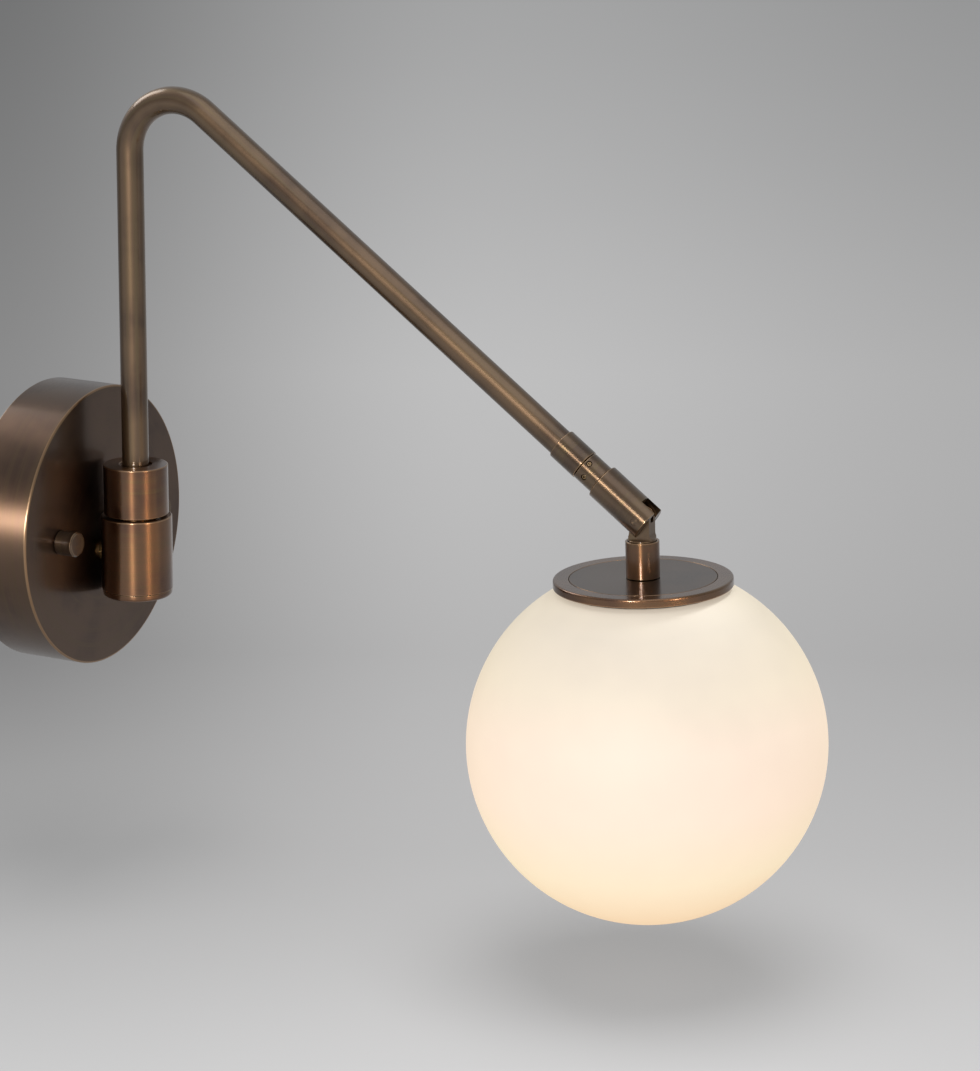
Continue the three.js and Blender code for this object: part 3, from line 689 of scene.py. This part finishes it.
# swivel: a fixed base with its bottom cap, and the head that turns on it
swivelShape = {
    "edge": 0.45 * mm,
    "footEdge": 0.25 * mm,
    "fineEdge": 0.2 * mm,
    "wall": 3.5 * mm,
    "web": 10.6 * mm,
    "bore": 5.3 * mm,
    "entry": 5.3 * mm,
    "tubeBore": 6.3 * mm,
    "recess": 7.4 * mm,
    "recessDepth": 0.8 * mm,
    "recessEdge": 0.25 * mm,
    "pinSlot": (10.1 * mm, 12.9 * mm),  # inner and outer radius
    "pinSlotDepth": 2.7 * mm,
    "pinSlotReach": 87,  # degrees to each side
    "pinSlotSteps": 24,
    "pinHole": 1.4 * mm,
    "screwHole": 2.3 * mm,
    "capRound": 1.6 * mm,
    "capEdge": 0.3 * mm,
    "capPlug": 3 * mm,
    "capPlugWall": 2 * mm,
}


def makeSwivelBase(shape):
    low, high, radius = reach("swivel_base", swivelPlace)
    chamber, web = radius - shape["wall"], high - shape["web"]
    piece = turned("swivel_barrel", swivelPlace, [
        (chamber, low, shape["fineEdge"]),
        (radius, low, shape["footEdge"]),
        (radius, high, shape["edge"]),
        (shape["bore"], high, shape["fineEdge"]),
        (shape["bore"], web),
        (chamber, web),
    ], closed=True)
    nipplePlace = placeOf((0, swing.y, middle("canopy_nipple").z), (0, -1, 0))
    entry = rodCutter(shape["entry"], -1.2 * radius, -chamber + 2 * mm, nipplePlace)
    inner, outer = shape["pinSlot"]
    steps, spread = shape["pinSlotSteps"], shape["pinSlotReach"]
    angles = [math.radians(-90 + spread * step / steps) for step in range(-steps, steps + 1)]
    outline = [(outer * math.cos(a), outer * math.sin(a)) for a in angles]
    outline += [(inner * math.cos(a), inner * math.sin(a)) for a in reversed(angles)]
    floor, roof = high - shape["pinSlotDepth"], high + over
    layers = [[(x, y, level) for x, y in outline] for level in (floor, roof)]
    carved(piece, entry, slab("cutter", *layers, swivelPlace))
    return fitted(piece, "wall_mount", "aged_brass", turnedBrass, "swivel_base")


def makeSwivelCap(shape):
    low, high, radius = reach("swivel_base_cap", swivelPlace)
    brim = high - shape["capPlug"]
    plug = radius - shape["wall"]
    piece = turned("swivel_bottom_cap", swivelPlace, [
        (0, low),
        (radius, low, shape["capRound"]),
        (radius, brim, shape["fineEdge"]),
        (plug, brim),
        (plug, high, shape["capEdge"]),
        (plug - shape["capPlugWall"], high),
        (plug - shape["capPlugWall"], brim),
        (0, brim),
    ])
    return fitted(piece, "wall_mount", "aged_brass", turnedBrass, "swivel_base_cap")


def makeSwivelHead(shape):
    low, high, radius = reach("swivel_head", swivelPlace)
    socket = reach("arm_tube", swivelPlace)[0] - clearance
    step = high - shape["recessDepth"]
    piece = turned("swivel_turning_head", swivelPlace, [
        (shape["bore"], low, shape["fineEdge"]),
        (radius, low, shape["edge"]),
        (radius, high, shape["edge"]),
        (shape["recess"], high, shape["recessEdge"]),
        (shape["recess"], step),
        (shape["tubeBore"], step),
        (shape["tubeBore"], socket),
        (shape["bore"], socket),
    ], closed=True)
    pin = middle("swing_stop_pin")
    pinPlace = placeOf((pin.x, pin.y, 0), (0, 0, 1))
    pinHole = rodCutter(shape["pinHole"], low - over, socket - 2 * mm, pinPlace)
    screwPlace = placeOf((0, swing.y, middle("tube_set_screw").z), (0, -1, 0))
    screwEnds = (-radius - over, -shape["tubeBore"] + 0.3 * mm)
    carved(piece, pinHole, rodCutter(shape["screwHole"], *screwEnds, screwPlace))
    return fitted(piece, "arm", "aged_brass", turnedBrass, "swivel_head")


makeSwivelBase(swivelShape)
makeSwivelCap(swivelShape)
makeSwivelHead(swivelShape)
print("swivel done")

# arm: one bent tube, its bend worked out from the highest point and the line of the slope
armShape = {
    "radius": 6 * mm,
    "wall": 1 * mm,
    "sides": 96,
    "bendSteps": 64,
    "straightSteps": 12,
}


def armPath(shape):
    slope = math.atan2(-armDown.z, -armDown.y)
    run = (pivot - Vector((0, swing.y, 0))).y / armDown.y
    corner = pivot - armDown * run
    turn = math.pi / 2 + slope
    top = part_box("arm_tube")[1].z
    bend = (corner.z + shape["radius"] - top) / (math.tan(turn / 2) - 1)
    setback = bend * math.tan(turn / 2)
    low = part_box("arm_tube")[0].z
    last = reach("arm_tube", armPlace)[0]
    start = corner.z - setback
    steps = shape["straightSteps"]
    points = [Vector((0, swing.y, low + (start - low) * step / steps)) for step in range(steps)]
    for step in range(shape["bendSteps"] + 1):
        angle = turn * step / shape["bendSteps"]
        out, up = bend * (math.cos(angle) - 1), bend * math.sin(angle)
        points.append(Vector((0, swing.y + out, start + up)))
    for step in range(1, steps + 1):
        at = setback + (run - last - setback) * step / steps
        points.append(corner + armDown * at)
    return points


def makeArm(shape):
    points = armPath(shape)
    build = bmesh.new()
    rings, around, along, wear = [], [], [], []
    travelled = 0
    # down the outside, then back up the bore
    outside = (shape["radius"], points, 1)
    inside = (shape["radius"] - shape["wall"], points[::-1], -1)
    for radius, line, hand in (outside, inside):
        for index, point in enumerate(line):
            before, after = line[max(index - 1, 0)], line[min(index + 1, len(line) - 1)]
            forward = (after - before).normalized()
            travelled += (point - before).length
            side = Vector((1, 0, 0))
            other = Vector((0, forward.z, -forward.y)) * hand
            ring = []
            for step in range(shape["sides"]):
                angle = 2 * math.pi * step / shape["sides"]
                spoke = side * math.cos(angle) + other * math.sin(angle)
                ring.append(build.verts.new(point + spoke * radius))
                around += [math.cos(angle) * radius, math.sin(angle) * radius, 0]
                along.append(travelled)
                wear.append(0.0)
            rings.append(ring)
    for low, high in zip(rings, rings[1:] + rings[:1]):
        for step in range(shape["sides"]):
            after = (step + 1) % shape["sides"]
            build.faces.new((low[step], low[after], high[after], high[step]))
    bmesh.ops.recalc_face_normals(build, faces=build.faces)
    attributes = [
        ("around", "FLOAT_VECTOR", around),
        ("along", "FLOAT", along),
        ("wear", "FLOAT", wear),
    ]
    piece = smooth(meshPiece("bent_arm", build, Matrix.Identity(4), attributes))
    return fitted(piece, "arm", "aged_brass", tubeBrass, "arm_tube")


makeArm(armShape)

# sleeve on the tube's end
sleeveShape = {
    "bore": 6.3 * mm,
    "boreEdge": 0.15 * mm,
    "web": 3 * mm,
    "stud": 3.9 * mm,
    "edge": 0.3 * mm,
}


def makeSleeve(shape):
    low, high, radius = reach("arm_sleeve", armPlace)
    web = low + shape["web"]
    piece = turned("tube_sleeve", armPlace, [
        (shape["stud"], low),
        (radius, low, shape["edge"]),
        (radius, high, shape["edge"]),
        (shape["bore"], high, shape["boreEdge"]),
        (shape["bore"], web),
        (shape["stud"], web),
    ], closed=True)
    return fitted(piece, "arm", "aged_brass", knuckleBrass, "arm_sleeve")


makeSleeve(sleeveShape)
print("arm done")

# turning neck, with its two grub screws
neckShape = {
    "spigot": 5.9 * mm,
    "chamber": 5 * mm,
    "web": 5.4 * mm,
    "stud": 3.9 * mm,
    "edge": 0.35 * mm,
    "lowEdge": 0.2 * mm,
    "grubHole": 1.3 * mm,
    "grub": 1.0 * mm,
    "grubEdge": 0.15 * mm,
    "grubLength": 2.0 * mm,
    "grubDepth": 0.3 * mm,  # its end below the neck's surface
    "socket": 0.5 * mm,
    "socketDepth": 0.8 * mm,
}
grubSteel = plainMetal("grub_steel", (112, 92, 68), (150, 128, 98), 0.35)


def grubPlace(number):
    # a place on the arm's axis whose Z points out through the screw
    out = armPlace.inverted() @ middle(f"grub_screw_{number}")
    angle = math.atan2(out.y, out.x)
    turn = Matrix.Rotation(angle, 4, "Z") @ Matrix.Rotation(math.pi / 2, 4, "Y")
    return armPlace @ Matrix.Translation((0, 0, out.z)) @ turn


def makeNeck(shape):
    low, high, radius = reach("swivel_neck", armPlace)
    shoulder = reach("knuckle_barrel", armPlace)[1] + clearance
    web = high - shape["web"]
    piece = turned("turning_neck", armPlace, [
        (shape["chamber"], low),
        (shape["spigot"], low, shape["lowEdge"]),
        (shape["spigot"], shoulder),
        (radius, shoulder, shape["lowEdge"]),
        (radius, high, shape["edge"]),
        (shape["stud"], high),
        (shape["stud"], web),
        (shape["chamber"], web),
    ], closed=True)
    hole = (shape["grubHole"], shape["stud"] - over, radius + over)
    carved(piece, *[rodCutter(*hole, grubPlace(number), 32) for number in (1, 2)])
    fitted(piece, "knuckle", "aged_brass", knuckleBrass, "swivel_neck")
    for number in (1, 2):
        place = grubPlace(number)
        end = radius - shape["grubDepth"]
        start = end - shape["grubLength"]
        screw = turned(f"neck_grub_screw_{number}", place, [
            (0, start),
            (shape["grub"], start),
            (shape["grub"], end, shape["grubEdge"]),
            (0, end),
        ], sides=40)
        socket = rodCutter(shape["socket"], end - shape["socketDepth"], end + over, place, 6)
        fitted(carved(screw, socket), "knuckle", "steel", grubSteel, f"grub_screw_{number}")


makeNeck(neckShape)

# knuckle barrel: square ended, slotted for the tongue, with the two pins that carry it
knuckleShape = {
    "edge": 0.25 * mm,
    "topEdge": 0.35 * mm,
    "slot": 6.6 * mm,
    "lowerTop": 5.55 * mm,  # the slot's end on the lower side, past the pivot
    "upperTop": 3.5 * mm,  # and on the upper side
    "eye": 5.3 * mm,
    "bore": 6.2 * mm,
    "boreDepth": 12.4 * mm,
    "passage": 2.6 * mm,
    "pinHole": 1.53 * mm,
    "pin": 1.5 * mm,
    "pinEdge": 0.06 * mm,
}


def makeBarrel(shape):
    low, high, radius = reach("knuckle_barrel", armPlace)
    piece = turned("knuckle_body", armPlace, [
        (0, low),
        (radius, low, shape["edge"]),
        (radius, high, shape["topEdge"]),
        (0, high),
    ])
    half, wide = shape["slot"] / 2, 2 * radius
    foot, boreFloor = low - over, high - shape["boreDepth"]
    across = turnAcross(armPlace)
    cutters = [
        blockCutter((-half, 0, foot), (half, wide, shape["lowerTop"]), armPlace),
        blockCutter((-half, -wide, foot), (half, 0.01 * mm, shape["upperTop"]), armPlace),
        rodCutter(shape["eye"], -half, half, across, 96),
        rodCutter(shape["bore"], boreFloor, high + over, armPlace, 96),
        rodCutter(shape["passage"], 0, boreFloor + over, armPlace, 48),
        rodCutter(shape["pinHole"], -wide, wide, across, 48),
    ]
    carved(piece, *cutters)
    return fitted(piece, "knuckle", "aged_brass", knuckleBrass, "knuckle_barrel")


def makePivotPins(shape):
    for side, hand in ((-1, "left"), (1, "right")):
        low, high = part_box(f"pivot_pin_{hand}")
        inner, outer = sorted((abs(low.x), abs(high.x)))
        pin = turned(f"knuckle_pin_{hand}", turnAcross(armPlace, side), [
            (0, inner),
            (shape["pin"], inner),
            (shape["pin"], outer, shape["pinEdge"]),
            (0, outer),
        ], sides=48)
        fitted(pin, "knuckle", "aged_brass", knuckleBrass, f"pivot_pin_{hand}")


makeBarrel(knuckleShape)
makePivotPins(knuckleShape)

# tongue: a flat eye that flares down to a round flange
tongueShape = {
    "thick": 6 * mm,
    "eye": 4.7 * mm,
    "eyeSteps": 48,
    "flare": 3 * mm,
    "flareSteps": 16,
    "flareTop": 6.2 * mm,  # this and the next are below the pivot
    "flangeTop": 9.2 * mm,
    "flange": 5.9 * mm,
    "flangeEdge": 0.25 * mm,
    "flangeHeight": 2.8 * mm,
    "spigot": 4.7 * mm,
    "spigotLength": 4.6 * mm,
    "wireSlot": 2.8 * mm,
    "wireSlotEnds": (-1.5 * mm, 8 * mm),
    "pinHole": 1.7 * mm,
    "edge": 0.2 * mm,
}


def tongueOutline(shape):
    # (across, up) points round the eye and down both sides of the flare
    eye, flare, top = shape["eye"], shape["flare"], shape["flareTop"]
    steps = shape["eyeSteps"]
    angles = [math.pi * step / steps for step in range(steps + 1)]
    upper = [(eye * math.cos(a), eye * math.sin(a)) for a in angles]
    steps = shape["flareSteps"]
    angles = [math.pi / 2 * step / steps for step in range(steps + 1)]
    left = [(-eye - flare + flare * math.cos(a), -top - flare * math.sin(a)) for a in angles]
    right = [(-across, up) for across, up in reversed(left)]
    return upper + left + right


def makeTongue(shape):
    half = shape["thick"] / 2
    outline = tongueOutline(shape)
    layers = [[(x, across, up) for across, up in outline] for x in (-half, half)]
    piece = slab("knuckle_eye", *layers, shadePlace)
    top, rim = -shape["flangeTop"], shape["flange"]
    bottom = top - shape["flangeHeight"]
    foot = bottom - shape["spigotLength"]
    base, wide = top - over, 2 * rim
    collar = [(rim, base), (wide, base), (wide, 0), (rim, 0)]  # trims the flare to the flange
    carved(piece, turned("cutter", shadePlace, collar, closed=True))
    flange = turned("cutter", shadePlace, [
        (0, foot),
        (shape["spigot"], foot),
        (shape["spigot"], bottom),
        (rim, bottom),
        (rim, top, shape["flangeEdge"]),
        (0, top),
    ])
    carved(piece, flange, operation="UNION")
    wire, far = shape["wireSlot"] / 2, 3 * shape["eye"]
    slotLow, slotHigh = shape["wireSlotEnds"]
    slotCutter = blockCutter((-wire, -far, slotLow), (wire, far, slotHigh), shadePlace)
    bore = rodCutter(wire, foot - over, 0, shadePlace, 48)
    far = 3 * shape["thick"]
    pinHole = rodCutter(shape["pinHole"], -far, far, turnAcross(shadePlace), 48)
    carved(piece, slotCutter, pinHole, bore)
    bevelled(piece, shape["edge"])  # last, since the cuts fail on a bevelled body
    return fitted(piece, "shade", "aged_brass", smallBrass, "knuckle_tongue")


makeTongue(tongueShape)

# cap, plate and ring that carry the glass
holderShape = {
    "capBore": 5.3 * mm,
    "capFoot": 0.15 * mm,
    "mouth": 6.2 * mm,
    "mouthBevel": 0.4 * mm,
    "edge": 0.3 * mm,
    "seat": 12.3 * mm,  # the mouth's floor below the pivot
    "ledge": 27 * mm,
    "ringFoot": 0.4 * mm,
    "ringEdge": 0.9 * mm,
    "recessStep": 2.5 * mm,
    "gapEdge": 0.18 * mm,  # along the groove between plate and ring
    "discSides": 224,
}


def makeShadeCap(shape):
    low, high, radius = reach("shade_cap", shadePlace)
    piece = turned("shade_neck_cap", shadePlace, [
        (shape["capBore"], low),
        (radius, low, shape["capFoot"]),
        (radius, high, shape["edge"]),
        (shape["mouth"], high, shape["mouthBevel"]),
        (shape["mouth"], -shape["seat"]),
        (shape["capBore"], -shape["seat"]),
    ], closed=True)
    return fitted(piece, "shade", "aged_brass", turnedBrass, "shade_cap")


def makeFitterPlate(shape):
    low, high, radius = reach("fitter_plate", shadePlace)
    piece = turned("fitter_top_plate", shadePlace, [
        (shape["capBore"], low),
        (radius, low),
        (radius, high, shape["gapEdge"]),
        (shape["capBore"], high),
    ], closed=True, sides=shape["discSides"])
    return fitted(piece, "shade", "aged_brass", discBrass, "fitter_plate")


def makeFitterRing(shape):
    low, high, radius = reach("fitter_ring", shadePlace)
    recess = reach("fitter_plate", shadePlace)[2] + clearance
    step = high - shape["recessStep"]
    piece = turned("fitter_outer_ring", shadePlace, [
        (shape["ledge"], low),
        (radius, low, shape["ringFoot"]),
        (radius, high, shape["ringEdge"]),
        (recess, high, shape["gapEdge"]),
        (recess, step),
        (shape["ledge"], step),
    ], closed=True, sides=shape["discSides"])
    return fitted(piece, "shade", "aged_brass", ringBrass, "fitter_ring")


makeShadeCap(holderShape)
makeFitterPlate(holderShape)
makeFitterRing(holderShape)
print("knuckle and fitter done")

# globe: a blown ball with a ground lip
globeShape = {"wall": 2.8 * mm, "lip": 0.7 * mm, "steps": 96, "sides": 192}


def arc(radius, first, last, steps):
    # (radius, height) points round a ball, by the angle from its top
    angles = [first + (last - first) * step / steps for step in range(steps + 1)]
    return [(radius * math.sin(a), radius * math.cos(a)) for a in angles]


def makeGlobe(shape):
    place = Matrix.Translation(globeCentre) @ shadePlace.to_3x3().to_4x4()
    lipHeight = reach("globe", place)[1]
    outer, inner, steps = globeOuter, globeOuter - shape["wall"], shape["steps"]
    outside = arc(outer, math.acos(lipHeight / outer), math.pi, steps)
    inside = arc(inner, math.pi, math.acos(lipHeight / inner), steps)
    outside[-1], inside[0] = (0, -outer), (0, -inner)
    outside[0] += (shape["lip"],)
    inside[-1] += (shape["lip"],)
    piece = turned("opal_globe", place, inside + outside, sides=shape["sides"])
    return fitted(piece, "shade", "opal_glass", opalGlass("opal_glass", opalLook), "globe")


globe = makeGlobe(globeShape)
globe.visible_diffuse = False  # its glow stays off the disc and the floor
print("globe done")

# pieces that stay as they are, each with the finish of its slot
finishes = {
    "aged_brass": smallBrass,
    "plain_brass": plainMetal("plain_brass", (148, 122, 80), (176, 148, 100), 0.34),
    "steel": plainMetal("zinc_steel", (168, 168, 164), (204, 204, 200), 0.36),
    "green_screw": plainMetal("green_screw", (62, 122, 70), (92, 158, 96), 0.38),
    "porcelain": plainPlastic("porcelain", (226, 221, 210), (240, 237, 228), 0.3),
    "lamp_cap": plainMetal("lamp_cap", (190, 190, 186), (222, 222, 218), 0.28),
    "cable_black": plainPlastic("cable_black", (28, 28, 29), (44, 44, 45), 0.45),
    "lead_brown": plainPlastic("lead_brown", (92, 58, 34), (112, 74, 44), 0.42),
    "lead_blue": plainPlastic("lead_blue", (50, 92, 150), (70, 114, 172), 0.42),
    "lead_green": plainPlastic("lead_green", (74, 132, 52), (150, 160, 50), 0.42),
    "gasket": plainPlastic("gasket_rubber", (36, 36, 36), (54, 53, 52), 0.7, 0.8),
    "bulb_glass": opalGlass("bulb_glass", {**opalLook, "glow": 1.4}),
}
slotOf = {part["node"]: part["material_slot"] for part in frame["record"]["subparts"]}
wires = (
    "canopy_cable",
    "arm_cable",
    "knuckle_cable",
    "shade_cable",
    "lead_live",
    "lead_neutral",
    "lead_earth",
)
for name, node in frame["nodes"].items():
    if node.hide_render:
        continue
    node.data.materials.clear()
    node.data.materials.append(finishes[slotOf[name]])
    weld = node.modifiers.new("weld", "WELD")
    weld.merge_threshold = 0.005 * mm
    if name in wires:
        rounder = node.modifiers.new("rounder", "SUBSURF")
        rounder.levels = rounder.render_levels = 2
        node.data.shade_smooth()
    else:
        bevelled(node, 0.12 * mm)
print("inner pieces finished")


# floor: pale, with broad soft bands of light that stay where they are on it, and painted shade that
# darkens its own colour on the left
# a band's stops are (the eye's height over the distance ahead of it, grey) from far to near
floorLook = {
    "below": 26 * mm,
    "radius": 9.0,
    "sides": 96,
    "shadedAlbedo": (0.24, 0.42),
    "nearest": 1.0,
    "left": [(0.1, 0.03), (0.22, 0.05), (0.3, 0.0), (0.36, 0.18), (0.42, 0.34), (0.48, 0.5)],
    "middle": [(0.1, 0.13), (0.22, 0.17), (0.3, 0.06), (0.36, 0.1), (0.42, 0.22), (0.48, 0.33)],
    "right": [(0.1, 0.07), (0.22, 0.08), (0.3, 0.01), (0.36, 0.08), (0.42, 0.2), (0.48, 0.34)],
    "places": (-0.15, 0.0, 0.15),  # of the three bands, sideways per distance ahead
}


def floorFinish(look, level):
    finish = newFinish("studio_floor")
    point = finish.objectPoint()
    x, y = finish.split(point)[:2]
    eye = Vector(viewpoint["place"])
    a = math.radians(viewpoint["azimuth"])
    ahead = (x - eye.x) * -math.sin(a) + (y - eye.y) * math.cos(a)
    ahead = ahead.maths("MAXIMUM", ahead, look["nearest"])
    across = ((x - eye.x) * math.cos(a) + (y - eye.y) * math.sin(a)) / ahead
    fall = (eye.z - level) / ahead
    bands = []
    for band in ("left", "middle", "right"):
        stops = [(place, grey(value)) for place, value in look[band]]
        bands.append(finish.node("ShaderNodeValToRGB", {"stops": stops}, {0: fall}))
    left, centre, right = look["places"]
    pastLeft = finish.between(across, left, centre)
    pastMiddle = finish.between(across, centre, right)
    glow = finish.mixed(finish.mixed(bands[0], bands[1], pastLeft), bands[2], pastMiddle)
    cloud = finish.noise(point, 1.1, 3.0)
    # its own colour is darker on the left: painted shade
    deep, pale = [grey(value) for value in look["shadedAlbedo"]]
    return finish.surface({
        "Base Color": finish.mixed(deep, pale, pastLeft * (0.94 + 0.1 * cloud)),
        "Roughness": 0.9,
        "Specular IOR Level": 0.0,
        "Emission Color": glow,
        "Emission Strength": 1.0,
    })


def makeFloor(look):
    build = bmesh.new()
    radius, sides = look["radius"], look["sides"]
    bmesh.ops.create_circle(build, cap_ends=True, radius=radius, segments=sides)
    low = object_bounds()[0].z - look["below"]
    floor = meshPiece("floor", build, Matrix.Translation((0, 0, low)))
    floor.data.materials.append(floorFinish(look, low))
    floor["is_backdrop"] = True


makeFloor(floorLook)

# lights, each (azimuth, elevation, distance) from the middle, with its size and power
# a narrow key by the camera, the globe's warm glow on the swivel, a lamp at the canopy's side,
# one behind the globe, a fill from the back, a wide sky for the metal, and a top for the rest
# "only" names the pieces that a lamp falls on, "spares" those that it misses
floorSpared = ("floor",)
lampTint = (1.0, 0.975, 0.97)
lamps = {
    "key": {"place": (-77, 14, 2.0), "size": (0.16, 0.34), "power": 22, "spares": floorSpared},
    "glow": {
        "place": (-22, 12, 1.8),
        "size": (0.2, 0.7),
        "power": 12,
        "tint": (1.0, 0.74, 0.5),
        "only": ("swivel_barrel", "swivel_turning_head", "swivel_bottom_cap", "fitter_outer_ring"),
    },
    "side": {"place": (-118, 8, 2.0), "size": (0.25, 0.4), "power": 22, "only": ("canopy_shell",)},
    "behind": {"place": (72, 50, 1.6), "size": (0.3, 0.3), "power": 17, "only": ("opal_globe",)},
    "fill": {"place": (172, 35, 2.2), "size": (0.9, 1.1), "power": 12, "spares": floorSpared},
    "sky": {
        "place": (-60, 74, 2.5),
        "size": (2.4, 2.4),
        "power": 15,
        "spares": ("floor", "opal_globe", "canopy_shell"),
    },
    "top": {
        "place": (-40, 84, 2.2),
        "size": (1.7, 1.7),
        "power": 34,
        "only": ("floor", "opal_globe"),
    },
}


def makeLamp(name, lamp):
    data = bpy.data.lights.new(name, "AREA")
    data.shape, (data.size, data.size_y) = "RECTANGLE", lamp["size"]
    data.energy, data.color = lamp["power"], lamp.get("tint", lampTint)
    light = bpy.data.objects.new(name, data)
    bpy.context.scene.collection.objects.link(light)
    centre = (cadBox[0] + cadBox[1]) / 2
    azimuth, elevation, distance = lamp["place"]
    away = backwards(azimuth, elevation)
    light.rotation_mode = "QUATERNION"
    light.location = centre + away * distance
    light.rotation_quaternion = away.to_track_quat("Z", "Y")
    light.visible_camera = False
    reached = bpy.data.collections.new(name + "_reach")
    for piece in lamp.get("only") or lamp["spares"]:
        reached.objects.link(bpy.data.objects[piece])
    if "only" not in lamp:
        for member in reached.collection_objects:
            member.light_linking.link_state = "EXCLUDE"
    light.light_linking.receiver_collection = reached


for name, lamp in lamps.items():
    makeLamp(name, lamp)


# the air round it: a grey room, a little paler overhead
roomTones = {"level": (158, 159, 160), "overhead": (200, 201, 202)}


def makeWorld(tones):
    world = bpy.data.worlds.new("studio")
    bpy.context.scene.world = world
    room = Finish(world)
    up = room.split(room.node("ShaderNodeTexCoord"))[2]
    stops = [(0.0, tone(*tones["level"])), (1.0, tone(*tones["overhead"]))]
    colour = room.node("ShaderNodeValToRGB", {"stops": stops}, {0: up})
    background = room.node("ShaderNodeBackground", None, {0: colour})
    room.node("ShaderNodeOutputWorld", None, {0: background})


makeWorld(roomTones)
print("stage and lights done")
